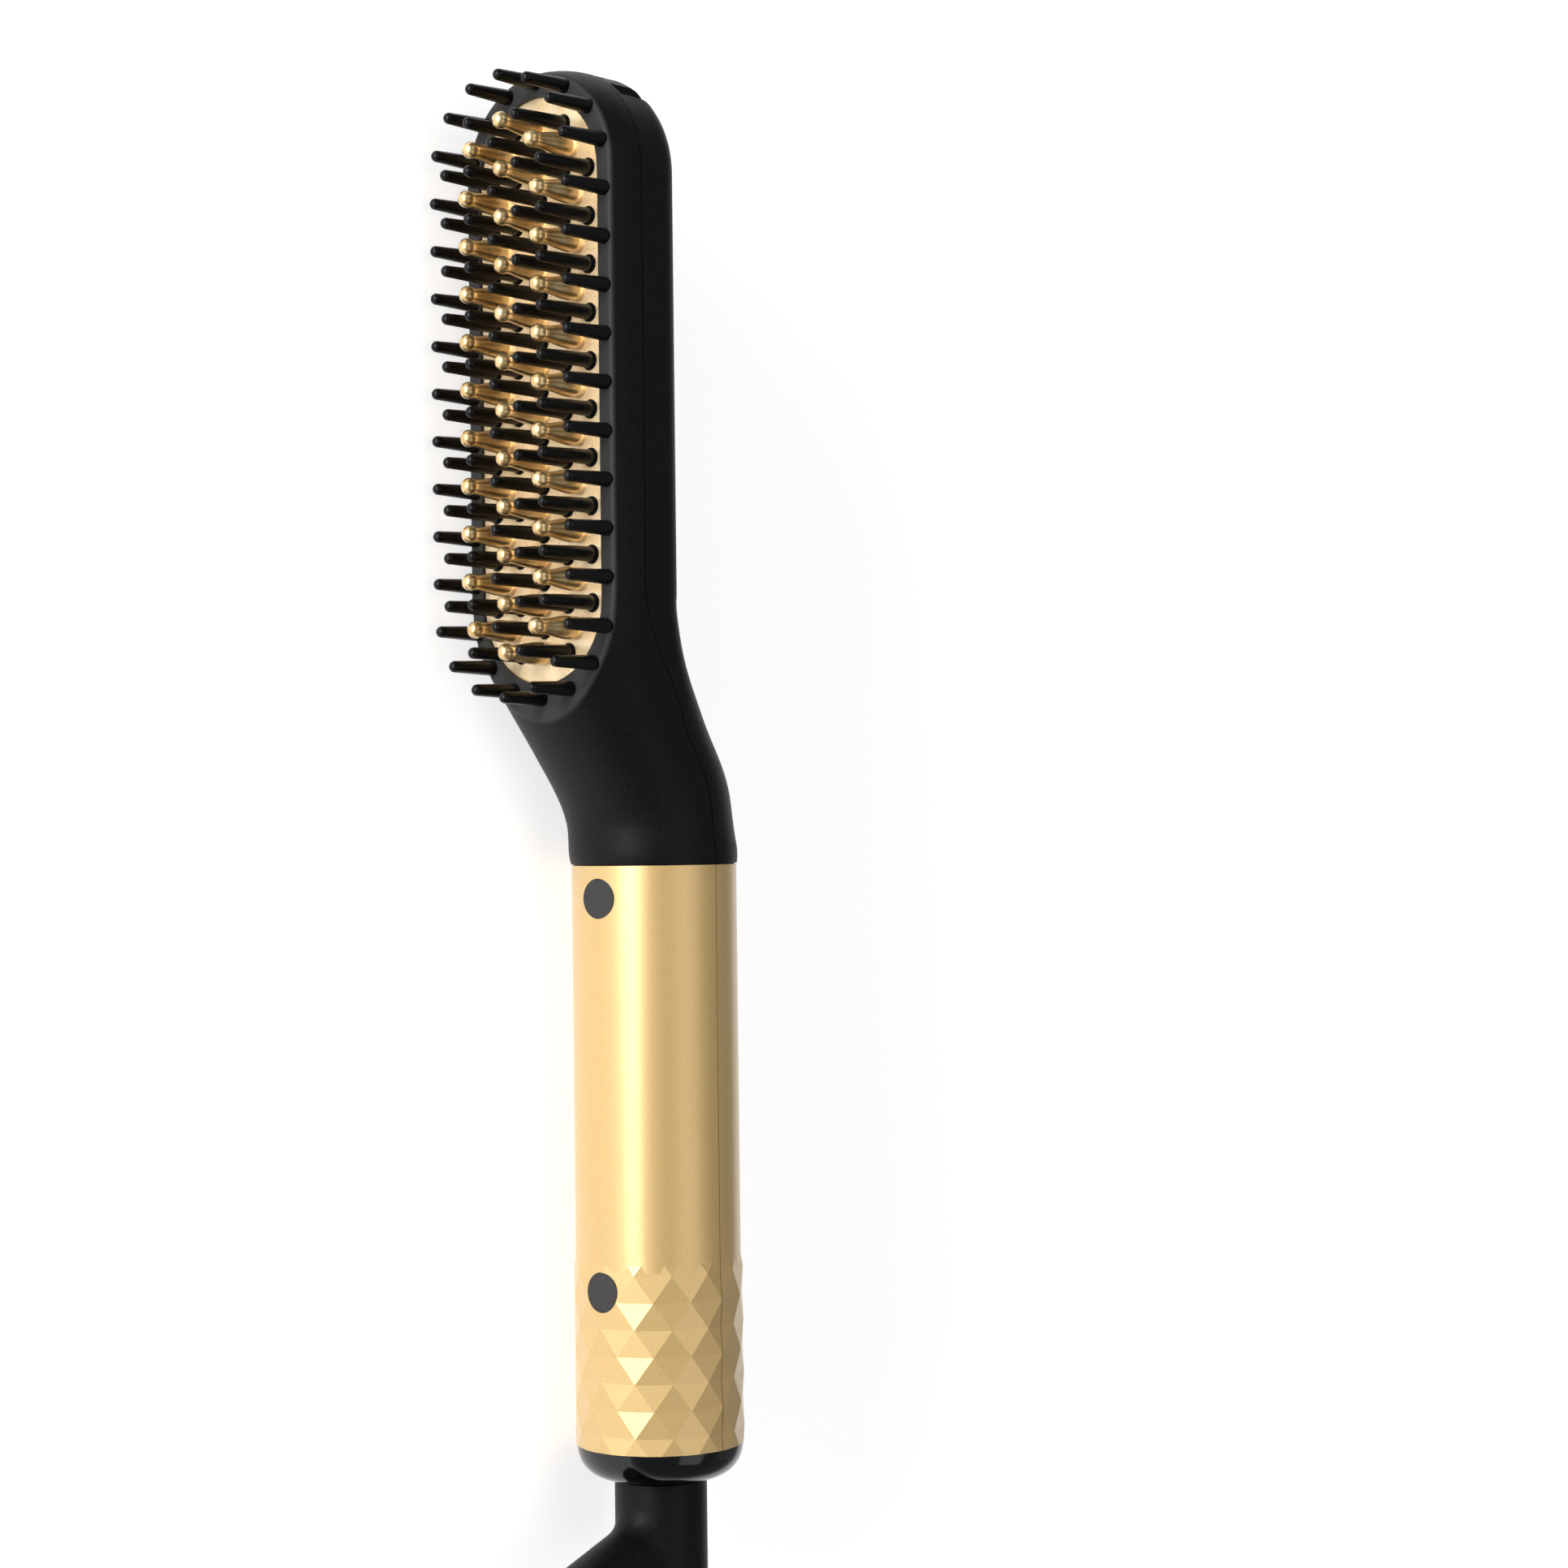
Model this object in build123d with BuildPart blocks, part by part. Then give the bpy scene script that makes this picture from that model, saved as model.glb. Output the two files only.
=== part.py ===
"""Hot comb: a heated beard-straightening brush with a slide switch and a swivelling cord outlet.

The brush lies on its side.  Every piece is placed by three measures from the point where the neck
meets the handle, on the handle's axis: l runs along the brush to the tip of the head, n points the
way the bristles point, and w is the width, upwards while the brush lies on its side.
All sizes are in millimetres.
"""

import os
from math import acos, asin, atan2, ceil, cos, hypot, pi, radians, sin, sqrt

from build123d import *

os.makedirs("parts", exist_ok=True)

# ---------------------------------------------------------------- driving dimensions

# handle: a painted tube in two halves, smooth at the head end and faceted at the tail end
HANDLE_RADIUS = 14.5
SLEEVE_LENGTH = 101.3
SLEEVE_WALL = 2.0
FACET_START = 70.5
FACET_PITCH = 4.65
FACET_SIDES = 14
FACET_RISE = 0.35
FACET_FADE = 0.3

# end cap
CAP_LENGTH = 5.9
CAP_RISE = 0.1
CAP_FACE_RADIUS = 8.8
CAP_FLOOR = 2.5
CAP_SPIGOT = 5.0
SPIGOT_WALL = 1.6
SPIGOT_CLEARANCE = 0.1

# cord swivel and the strain relief in its arm
SWIVEL_GAP = 0.5
SWIVEL_RADIUS = 8.1
SWIVEL_LENGTH = 18.5
SWIVEL_NECK_RADIUS = 5.85
SWIVEL_NECK_LENGTH = 15.5
RUNNING_FIT = 0.08
CLIP_THICKNESS = 1.2
CLIP_GROOVE = 1.2
CLIP_RADIUS = 8.6
CLIP_CLEARANCE = 0.2
ARM_BACKSET = 10.4
ARM_DROOP = 20.0
ARM_RADIUS = 6.0
ARM_REACH = 22.0
ARM_BORE_RADIUS = 3.4
ARM_BLEND = 5.0
ARM_ROUNDING = 0.8
HEEL_ROUNDING = 2.4
BOOT_CORE_RADIUS = 4.4
BOOT_CORE_END = 3.3
BOOT_RIB_RADIUS = 5.8
BOOT_RIB_END = 3.9
BOOT_RIB_WIDTH = 1.9
BOOT_RIB_PITCH = 3.2
BOOT_RIBS = 6
BOOT_TENON = 6.0
CORD_RADIUS = 2.6
CORD_CLEARANCE = 0.1

# slip contacts that carry the current through the swivel
SLIP_RING_RISE = 0.35
SLIP_RING_LENGTH = 2.4
SLIP_RING_SETBACK = 1.0
SLIP_PIN_RADIUS = 1.3
SLIP_PIN_LENGTH = 6.0
CONTACT_GAP = 0.3
CARRIER_THICKNESS = 2.4
BRUSH_THICKNESS = 0.4
BRUSH_HALF_WIDTH = 1.5

# head: a long oval with a flat face for the bristles and a gently rounded back
HEAD_TIP = 136.3
HEAD_HALF_WIDTH = 18.3
HEAD_ROUND_CENTRE = 20.8
HEAD_BACK = 10.4
HEAD_BACK_CORNER = 5.0
NECK_LENGTH = 46.0
HEAD_WALL = 1.8
RIM_FACE = 27.6
RIM_START = 27.2
RIM_ROUNDING = 1.1
PARTING_HEIGHT = 21.2
SEAM_WIDTH = 0.2
SEAM_DEPTH = 0.35
NECK_SPIGOT = 9.0
NECK_COLLAR = 3.0

# heated plate, bristles and teeth
PLATE_RECESS = 0.8
PLATE_THICKNESS = 1.8
PLATE_SIDE_BORDER = 2.0
PLATE_END_BORDER = 3.0
LIP_WIDTH = 0.9
PLATE_CLEARANCE = 0.1
ROW_SPACING = 8.1
ROW_MARGIN = 6.1
COLUMN_MARGIN = 3.8
RIM_PIN_LENGTH = 9.9
TRAY_PIN_LENGTH = 12.4
TOOTH_LENGTH = 10.8
PIN_BASE_RADIUS = 1.36
PIN_TIP_RADIUS = 1.0
PIN_ROOT = 0.8
PIN_ROOT_RADIUS = 1.1
PIN_FIT = 0.02
PIN_COLLAR_RADIUS = 1.55
PIN_COLLAR_HEIGHT = 0.2
PIN_HOLE_CLEARANCE = 0.1
TOOTH_BASE_RADIUS = 2.0
TOOTH_BALL_FOOT_RADIUS = 1.42
TOOTH_NECK_RADIUS = 1.36
TOOTH_NECK_SHARE = 0.78
TOOTH_SHOULDER_RADIUS = 1.9
TOOTH_SHOULDER_SHARE = 0.42
TOOTH_BALL_RADIUS = 1.5
TOOTH_INSET = 1.2
STUD_RADIUS = 1.0
STUD_FIT = 0.02
STUD_CLEARANCE = 0.15
END_PINS = 5

# heater stack under the plate
TRAY_THICKNESS = 1.2
SPREADER_THICKNESS = 1.6
SPREADER_END_BORDER = 7.0
HEATER_HALF_WIDTH = 7.0
HEATER_END_BORDER = 6.0
HEATER_THICKNESS = 2.6
FILM_THICKNESS = 0.15
SHIELD_THICKNESS = 0.8
STRAP_THICKNESS = 0.8
STRAP_HALF_WIDTH = 4.0
STRAP_OFFSET = 26.0
HEAD_BOSS_RADIUS = 2.1
BOSS_RIB_THICKNESS = 1.6
STRAP_SCREW_RADIUS = 0.9
STRAP_SCREW_HEAD_RADIUS = 1.7
STRAP_SCREW_HEAD_HEIGHT = 1.0
STRAP_SCREW_LENGTH = 4.0
SCREW_CLEARANCE = 0.05
FUSE_RADIUS = 1.6
FUSE_LENGTH = 10.0
SENSOR_RADIUS = 1.1
SENSOR_LENGTH = 4.0

# slide switch and indicator on the back of the handle
PANEL_START = 5.9
PANEL_LENGTH = 43.2
PANEL_HALF_WIDTH = 5.1
PANEL_DEPTH = 1.4
BED_HALF_WIDTH = 7.0
BED_THICKNESS = 1.2
SLOT_START = 23.9
SLOT_LENGTH = 24.3
SLOT_HALF_WIDTH = 4.1
SLOT_DEPTH = 1.0
BUTTON_LENGTH = 19.2
BUTTON_CLEARANCE = 0.15
BUTTON_RISE = 0.7
BUTTON_ROUNDING = 0.5
GRIP_PITCH = 5.1
GRIP_HALF_WIDTH = 1.8
GRIP_GROOVE = 1.5
GRIP_DEPTH = 0.6
STEM_HALF_WIDTH = 1.4
STEM_HALF_LENGTH = 2.0
STEM_CLEARANCE = 0.25
WINDOW_POSITION = 13.2
WINDOW_LENGTH = 5.4
WINDOW_WIDTH = 3.4
LENS_RISE = 0.25
LENS_ROUNDING = 0.2

# slide switch, board and what stands on it
CONTACT_THICKNESS = 0.6
CONTACT_HALF_WIDTH = 2.1
SWITCH_HEIGHT = 4.4
SWITCH_WALL = 0.8
SWITCH_HALF_WIDTH = 4.0
BOARD_START = 9.8
BOARD_LENGTH = 57.0
BOARD_THICKNESS = 1.6
BOARD_EDGE_GAP = 1.0
LED_HEIGHT = 1.9
LED_LENGTH = 3.5
LED_WIDTH = 2.8
CAPACITOR_RADIUS = 4.0
CAPACITOR_LENGTH = 12.0
TRIAC_WIDTH = 10.0
TRIAC_HEIGHT = 4.5
TRIAC_LENGTH = 12.0
RESISTOR_RADIUS = 1.4
RESISTOR_LENGTH = 8.0
CAPACITOR_START = 19.0
COMPONENT_GAP = 3.0
LEAD_RADIUS = 0.8
LEAD_BEND = 3.5
LEAD_SPREAD = 7.0
LEAD_HEATER_SPREAD = 4.0
LEAD_OVERLAP = 5.0
LEAD_CENTRE = 3.0
LEAD_RISE_START = 4.6
LEAD_STRAIGHT = 8.2

# screws of the handle and their plugs
UPPER_SCREW = 5.65
LOWER_SCREW = 73.6
PLUG_RADIUS = 3.5
PLUG_THICKNESS = 1.5
PLUG_SINK = 0.1
FRONT_BOSS_RADIUS = 4.6
BACK_BOSS_RADIUS = 3.4
BOSS_MEETING = 2.0
SCREW_SEAT = 4.0
SCREW_HEAD_RADIUS = 2.6
SCREW_HEAD_HEIGHT = 1.8
SCREW_HEAD_CLEARANCE = 0.3
SCREW_SHANK_RADIUS = 1.3
SCREW_LENGTH = 11.0
SCREW_CROSS_REACH = 1.6
SCREW_CROSS_WIDTH = 0.7
SCREW_CROSS_DEPTH = 0.9

# grooves on the back of the head
GROOVE_PITCH = 5.85
GROOVE_WIDTH = 2.8
GROOVE_LENGTH = 5.95
GROOVE_ROW = 8.15
GROOVE_DEPTH = 0.9
GROOVE_STEP = 1.25
GROOVE_COLUMNS = 5
GROOVE_ROWS = 2
GROOVE_FROM_TIP = 31.7

# how far cutting shapes reach past the surfaces they cut
OVERSHOOT = 1.0

# ---------------------------------------------------------------- places that follow from them

arm_angle = radians(ARM_DROOP)
cap_end = -(SLEEVE_LENGTH + CAP_LENGTH)
swivel_top = cap_end - SWIVEL_GAP
arm_root = swivel_top - ARM_BACKSET
boot_end = ARM_REACH + BOOT_RIBS * BOOT_RIB_PITCH
tail_end = arm_root - boot_end * sin(arm_angle) - BOOT_RIB_END * cos(arm_angle)

facet_radius = HANDLE_RADIUS + FACET_RISE
sleeve_bore = HANDLE_RADIUS - SLEEVE_WALL
spigot_radius = sleeve_bore - SPIGOT_CLEARANCE

plate_face = RIM_FACE - PLATE_RECESS
plate_under = plate_face - PLATE_THICKNESS
tray_under = plate_under - TRAY_THICKNESS
spreader_under = tray_under - SPREADER_THICKNESS
film_under = spreader_under - HEATER_THICKNESS - 2 * FILM_THICKNESS
shield_under = film_under - SHIELD_THICKNESS
strap_under = shield_under - STRAP_THICKNESS

panel_floor = -(HANDLE_RADIUS - PANEL_DEPTH)
slot_floor = panel_floor + SLOT_DEPTH
bed_floor = slot_floor + BED_THICKNESS
contact_top = bed_floor + SWITCH_HEIGHT / 2
button_top = -(HANDLE_RADIUS + BUTTON_RISE)
button_travel = SLOT_LENGTH - BUTTON_LENGTH - 2 * BUTTON_CLEARANCE
button_middle = -(SLOT_START + SLOT_LENGTH - BUTTON_CLEARANCE - BUTTON_LENGTH / 2)
board_back = bed_floor + SWITCH_HEIGHT
board_front = board_back + BOARD_THICKNESS
board_half_width = sqrt(sleeve_bore**2 - board_back**2) - BOARD_EDGE_GAP

bristle_reach = max(
    plate_face + TRAY_PIN_LENGTH,
    boot_end * cos(arm_angle) + BOOT_RIB_END * sin(arm_angle),
)
back_reach = max(-button_top, facet_radius)

rim_half_width = sqrt(HEAD_HALF_WIDTH**2 - (RIM_FACE - HEAD_ROUND_CENTRE) ** 2)
head_end_centre = HEAD_TIP - HEAD_HALF_WIDTH
rim_end = head_end_centre + rim_half_width
head_middle = (RIM_START + rim_end) / 2
rim_half_length = (rim_end - RIM_START) / 2
plate_half_width = rim_half_width - PLATE_SIDE_BORDER
plate_half_length = rim_half_length - PLATE_END_BORDER
opening_half_width = plate_half_width - LIP_WIDTH
opening_half_length = plate_half_length - LIP_WIDTH
rim_pin_offset = (opening_half_width + rim_half_width) / 2
head_boss_offset = plate_half_width - HEAD_BOSS_RADIUS

rows = round(2 * (plate_half_length - ROW_MARGIN) / ROW_SPACING)
row_pitch = 2 * (plate_half_length - ROW_MARGIN) / rows
column_pitch = (plate_half_width - COLUMN_MARGIN) / 4
even_rows = [(row - (rows - 1) / 2) * row_pitch for row in range(rows)]
odd_rows = [(row - rows / 2) * row_pitch for row in range(rows + 1)]

X_JOINT = (HEAD_TIP + tail_end) / 2
Y_AXIS = (bristle_reach - back_reach) / 2
Z_AXIS = HEAD_HALF_WIDTH


def at(along, out, across):
    """The point at the given l, n and w."""
    return Vector(X_JOINT - along, Y_AXIS - out, Z_AXIS + across)


ORIGIN = at(0, 0, 0)
SECTION = Plane(origin=ORIGIN, x_dir=(0, -1, 0), z_dir=(-1, 0, 0))  # draws (n, w), offset by l
SIDE = Plane(origin=ORIGIN, x_dir=(-1, 0, 0), z_dir=(0, 0, 1))  # draws (l, n), offset by w
FACE = Plane(origin=ORIGIN, x_dir=(0, 0, 1), z_dir=(0, -1, 0))  # draws (w, l), offset by n
HANDLE_AXIS = Axis(ORIGIN, (-1, 0, 0))
ARM = Plane(
    origin=at(arm_root, 0, 0),
    x_dir=(0, 0, 1),
    z_dir=(sin(arm_angle), -cos(arm_angle), 0),
)
ARM_AXIS = Axis(ARM.origin, ARM.z_dir)


# ---------------------------------------------------------------- shared shapes


def rod(start, end, radius, out=0.0, across=0.0):
    """A round bar along the brush, from l = start to l = end."""
    with BuildPart() as bar:
        with BuildSketch(SECTION.offset(start)):
            with Locations((out, across)):
                Circle(radius)
        extrude(amount=end - start)
    return bar.part


def post(along, across, start, end, radius):
    """A round bar across the brush, from n = start to n = end."""
    with BuildPart() as bar:
        with BuildSketch(FACE.offset(start)):
            with Locations((across, along)):
                Circle(radius)
        extrude(amount=end - start)
    return bar.part


def block(l_range, n_range, w_range):
    """A box between the given limits."""
    corner = at(sum(l_range) / 2, sum(n_range) / 2, sum(w_range) / 2)
    sizes = (abs(r[1] - r[0]) for r in (l_range, n_range, w_range))
    with BuildPart(Plane(origin=corner)) as box:
        Box(*sizes)
    return box.part


def oval(middle, half_length, half_width, start, end):
    """A plate with round ends around l = middle, from n = start to n = end."""
    with BuildPart() as plate:
        with BuildSketch(FACE.offset(start)):
            with Locations((0, middle)):
                SlotOverall(2 * half_length, 2 * half_width, rotation=90)
        extrude(amount=end - start)
    return plate.part


def wire(points, radius, bend):
    """An insulated lead along straight runs with rounded corners."""
    with BuildPart() as lead:
        with BuildLine() as route:
            FilletPolyline(*[at(*point) for point in points], radius=bend)
        start = Plane(origin=route.line @ 0, z_dir=route.line % 0)
        with BuildSketch(start):
            Circle(radius)
        sweep(path=route.line)
    return lead.part


def on_face(places, height):
    """Locations on the plane n = height, for places given as (w, l from the head's middle)."""
    plane = FACE.offset(height)
    return [plane.location * Location((w, head_middle + l, 0)) for w, l in places]


def finish(piece, name):
    """Name the finished piece and write it."""
    piece.part.label = name
    export_step(piece.part, f"parts/{name}.step")


# ---------------------------------------------------------------- form of the neck and head

# Stations along the neck: share of its length, how far the round front and then the back have swung
# out to the head's place, how far the width has spread, and how far the back corners have tightened
# from the handle's full round to the head's own corner.
NECK_STATIONS = (
    (0.00, 0.000, 0.000, 0.00, 0.00),
    (0.13, 0.036, 0.025, 0.02, 0.01),
    (0.26, 0.155, 0.074, 0.03, 0.03),
    (0.38, 0.345, 0.175, 0.05, 0.07),
    (0.50, 0.530, 0.350, 0.14, 0.18),
    (0.61, 0.680, 0.560, 0.32, 0.48),
    (0.71, 0.805, 0.745, 0.52, 0.74),
    (0.81, 0.915, 0.890, 0.77, 0.90),
    (0.90, 0.975, 0.970, 0.93, 0.97),
    (1.00, 1.000, 1.000, 1.00, 1.00),
)
MIN_FLAT = 0.12

# The seam between the two shells: share of the neck's length and of the parting height
SEAM_POINTS = (
    (0.15, 0.03),
    (0.31, 0.10),
    (0.48, 0.33),
    (0.67, 0.58),
    (0.82, 0.83),
    (0.92, 0.955),
)


def blend(start, end, share):
    """The value that lies the given share of the way from start to end."""
    return start + (end - start) * share


def head_section(along, centre, back, half, corner, inset, upper_half=False):
    """A cross-section: round over the front, straight sides and rounded back corners."""
    half -= inset
    back += inset
    corner = min(corner - inset, half - MIN_FLAT, centre - back - MIN_FLAT)
    turn = corner * sqrt(0.5)
    with BuildSketch(SECTION.offset(along)) as section:
        with BuildLine():
            ThreePointArc((centre, half), (centre + half, 0), (centre, -half))
            Line((centre, -half), (back + corner, -half))
            ThreePointArc(
                (back + corner, -half),
                (back + corner - turn, corner - half - turn),
                (back, corner - half),
            )
            Line((back, corner - half), (back, half - corner))
            ThreePointArc(
                (back, half - corner),
                (back + corner - turn, half - corner + turn),
                (back + corner, half),
            )
            Line((back + corner, half), (centre, half))
        make_face()
        if upper_half:
            with Locations((centre, -half)):
                Rectangle(4 * half, 2 * half, mode=Mode.SUBTRACT)
    return section.sketch


def head_form(inset, face):
    """The neck and head as one closed form, inset from the outside and cut flat at n = face."""
    neck_sections = [
        head_section(
            share * NECK_LENGTH,
            blend(0, HEAD_ROUND_CENTRE, lift),
            blend(-HANDLE_RADIUS, HEAD_BACK, swing),
            blend(HANDLE_RADIUS, HEAD_HALF_WIDTH, spread),
            blend(HANDLE_RADIUS, HEAD_BACK_CORNER, square),
            inset,
        )
        for share, lift, swing, spread, square in NECK_STATIONS
    ]
    shape = (HEAD_ROUND_CENTRE, HEAD_BACK, HEAD_HALF_WIDTH, HEAD_BACK_CORNER, inset)
    straight = head_section(NECK_LENGTH, *shape)
    round_end = head_section(head_end_centre, *shape, upper_half=True)
    with BuildPart() as form:
        loft(neck_sections)
        extrude(straight, amount=head_end_centre - NECK_LENGTH)
        revolve(round_end, axis=Axis(at(head_end_centre, 0, 0), (0, -1, 0)))
        with BuildSketch(FACE.offset(face)):
            with Locations((0, head_middle)):
                Rectangle(4 * HEAD_HALF_WIDTH, 2 * HEAD_TIP)
        extrude(amount=2 * HEAD_HALF_WIDTH, mode=Mode.SUBTRACT)
    return form.part


def rounded_head():
    """The outside of the neck and head, with the rim's edge rounded."""
    with BuildPart() as outside:
        add(head_form(0, RIM_FACE))
        rim = outside.faces().filter_by(Axis.Y).sort_by(Axis.Y)[0]
        fillet(rim.edges(), radius=RIM_ROUNDING)
    return outside.part


def back_region():
    """Everything on the back side of the seam between the shells."""
    far = 3 * HANDLE_RADIUS
    with BuildPart() as region:
        with BuildSketch(SIDE):
            with BuildLine():
                seam = [(x * NECK_LENGTH, y * PARTING_HEIGHT) for x, y in SEAM_POINTS]
                top = (1.1 * NECK_LENGTH, PARTING_HEIGHT)
                Spline((0, 0), *seam, top, tangents=((1, 0), (1, 0)))
                Polyline(
                    top,
                    (HEAD_TIP + far, PARTING_HEIGHT),
                    (HEAD_TIP + far, -far),
                    (-far, -far),
                    (-far, 0),
                    (0, 0),
                )
            make_face()
        extrude(amount=2 * HEAD_HALF_WIDTH, both=True)
    return region.part


def ring_groove(start):
    """A thin groove round the neck or the sleeve, from l = start towards the tip."""
    with BuildPart() as groove:
        add(rod(start, start + SEAM_WIDTH, 2 * HANDLE_RADIUS))
        add(rod(start, start + SEAM_WIDTH, HANDLE_RADIUS - SEAM_DEPTH), mode=Mode.SUBTRACT)
    return groove.part


seam_region = back_region()


def seam_groove(outside):
    """The thin groove along the seam, where the rounded edges of the two shells meet."""
    with BuildPart() as groove:
        add(Pos(0, -SEAM_WIDTH / 2, 0) * seam_region)
        add(Pos(0, SEAM_WIDTH / 2, 0) * seam_region, mode=Mode.SUBTRACT)
        add(outside, mode=Mode.INTERSECT)
        add(head_form(SEAM_DEPTH, RIM_FACE), mode=Mode.SUBTRACT)
    return groove.part


def grooved_head():
    """The outside of the neck and head with the seam's groove and the one where the handle begins."""
    outside = rounded_head()
    with BuildPart() as head:
        add(outside)
        add(seam_groove(outside), mode=Mode.SUBTRACT)
        add(ring_groove(0), mode=Mode.SUBTRACT)
    return head.part


head_outside = grooved_head()
head_inside = head_form(HEAD_WALL, plate_face)


def neck_spigot():
    """The sleeve of both shells that the handle's halves close on, notched for the screw boss."""
    with BuildPart() as spigot:
        add(rod(-NECK_SPIGOT, 0, spigot_radius))
        add(rod(0, NECK_COLLAR, HANDLE_RADIUS - HEAD_WALL + SPIGOT_CLEARANCE))
        add(rod(-NECK_SPIGOT, NECK_COLLAR, spigot_radius - SPIGOT_WALL), mode=Mode.SUBTRACT)
        notch = FRONT_BOSS_RADIUS + SPIGOT_CLEARANCE
        add(
            post(-UPPER_SCREW, 0, -HANDLE_RADIUS, HANDLE_RADIUS, notch),
            mode=Mode.SUBTRACT,
        )
        add(
            block(
                (-UPPER_SCREW, -NECK_SPIGOT - 1),
                (-HANDLE_RADIUS, HANDLE_RADIUS),
                (-notch, notch),
            ),
            mode=Mode.SUBTRACT,
        )
    return spigot.part


spigot_ring = neck_spigot()


# ---------------------------------------------------------------- pins and teeth


def pin(length):
    """A tapered pin with a ball end, standing on the XY plane, with its root below it."""
    rise = length - PIN_TIP_RADIUS
    taper = acos(PIN_TIP_RADIUS / hypot(rise, PIN_BASE_RADIUS)) - atan2(rise, PIN_BASE_RADIUS)
    between = (taper + pi / 2) / 2
    centre = length - PIN_TIP_RADIUS
    shoulder = (PIN_TIP_RADIUS * cos(taper), centre + PIN_TIP_RADIUS * sin(taper))
    on_ball = (PIN_TIP_RADIUS * cos(between), centre + PIN_TIP_RADIUS * sin(between))
    with BuildPart() as one_pin:
        with BuildSketch(Plane.XZ):
            with BuildLine():
                Polyline(
                    (0, -PIN_ROOT),
                    (PIN_ROOT_RADIUS, -PIN_ROOT),
                    (PIN_ROOT_RADIUS, 0),
                    (PIN_BASE_RADIUS, 0),
                    shoulder,
                )
                ThreePointArc(shoulder, on_ball, (0, length))
                Line((0, length), (0, -PIN_ROOT))
            make_face()
        revolve(axis=Axis.Z)
    return one_pin.part


def tooth():
    """A heated tooth: a stout body, a neck that runs into a ball, and the stud below its foot."""
    ball_centre = TOOTH_LENGTH - TOOTH_BALL_RADIUS
    ball_foot = ball_centre - sqrt(TOOTH_BALL_RADIUS**2 - TOOTH_BALL_FOOT_RADIUS**2)
    ball_slope = (ball_centre - ball_foot, TOOTH_BALL_FOOT_RADIUS)
    with BuildPart() as one_tooth:
        with BuildSketch(Plane.XZ):
            with BuildLine():
                Line((0, 0), (TOOTH_BASE_RADIUS, 0))
                Spline(
                    (TOOTH_BASE_RADIUS, 0),
                    (TOOTH_SHOULDER_RADIUS, TOOTH_SHOULDER_SHARE * ball_foot),
                    (TOOTH_NECK_RADIUS, TOOTH_NECK_SHARE * ball_foot),
                    (TOOTH_BALL_FOOT_RADIUS, ball_foot),
                    tangents=((0, 1), ball_slope),
                )
                ThreePointArc(
                    (TOOTH_BALL_FOOT_RADIUS, ball_foot),
                    (TOOTH_BALL_RADIUS, ball_centre),
                    (0, TOOTH_LENGTH),
                )
                Line((0, TOOTH_LENGTH), (0, 0))
            make_face()
        revolve(axis=Axis.Z)
        with BuildSketch():
            Circle(STUD_RADIUS)
        extrude(amount=-(PLATE_THICKNESS + TRAY_THICKNESS))
    return one_tooth.part


def rim_places():
    """Where the rim's pins stand: along both sides and evenly round both ends."""
    end_centre = rim_half_length - rim_half_width
    places = []
    for row in even_rows:
        past = max(0, abs(row) - end_centre)
        across = sqrt(rim_pin_offset**2 - past**2)
        places += [(across, row), (-across, row)]
    first = asin(max(0, even_rows[-1] - end_centre) / rim_pin_offset)
    for index in range(END_PINS):
        angle = first + (index + 1) * (pi - 2 * first) / (END_PINS + 1)
        for end in (1, -1):
            along = end * (end_centre + rim_pin_offset * sin(angle))
            places.append((rim_pin_offset * cos(angle), along))
    return places


def tray_places():
    """Where the plate's pins stand: three staggered columns and an outer one on each side."""
    places = [(0, row) for row in even_rows]
    for side in (1, -1):
        places += [(side * 2 * column_pitch, row) for row in odd_rows]
        places += [(side * 4 * column_pitch, row) for row in odd_rows[1:-1]]
    return places


def tooth_places():
    """Where the heated teeth stand: a middle column and one on each side."""
    places = [(0, row) for row in odd_rows]
    for side in (1, -1):
        for index, row in enumerate(even_rows):
            inset = TOOTH_INSET if index in (0, rows - 1) else 0
            places.append((side * (3 * column_pitch - inset), row))
    return places


# ---------------------------------------------------------------- the head's shells


def make_head_front_shell():
    """Front of the neck and the rim around the plate, with the rim's pins and the strap bosses."""
    with BuildPart() as head_front_shell:
        add(head_outside)
        add(head_inside, mode=Mode.SUBTRACT)
        add(spigot_ring)
        add(seam_region, mode=Mode.SUBTRACT)
        add(
            oval(
                head_middle,
                opening_half_length,
                opening_half_width,
                plate_face - OVERSHOOT,
                RIM_FACE + OVERSHOOT,
            ),
            mode=Mode.SUBTRACT,
        )
        with BuildSketch(FACE.offset(plate_face)):
            with Locations(*[(w, head_middle + l) for w, l in rim_places()]):
                Circle(PIN_ROOT_RADIUS + PIN_FIT)
        extrude(amount=PLATE_RECESS, mode=Mode.SUBTRACT)
        for side in (1, -1):
            for end in (1, -1):
                along = head_middle + end * STRAP_OFFSET
                across = side * head_boss_offset
                add(post(along, across, shield_under, tray_under, HEAD_BOSS_RADIUS))
                add(
                    block(
                        (along - BOSS_RIB_THICKNESS / 2, along + BOSS_RIB_THICKNESS / 2),
                        (PARTING_HEIGHT, tray_under),
                        (across, side * (HEAD_HALF_WIDTH - HEAD_WALL / 2)),
                    )
                )
                add(
                    post(
                        along,
                        across,
                        shield_under,
                        shield_under + STRAP_SCREW_LENGTH,
                        STRAP_SCREW_RADIUS + SCREW_CLEARANCE,
                    ),
                    mode=Mode.SUBTRACT,
                )
    finish(head_front_shell, "head_front_shell")


def make_rim_pins():
    """The pins round the rim, each set into a hole in it."""
    with BuildPart() as rim_pins:
        with Locations(*on_face(rim_places(), plate_face + PIN_ROOT)):
            add(pin(RIM_PIN_LENGTH + PLATE_RECESS - PIN_ROOT))
    finish(rim_pins, "rim_pins")


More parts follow.
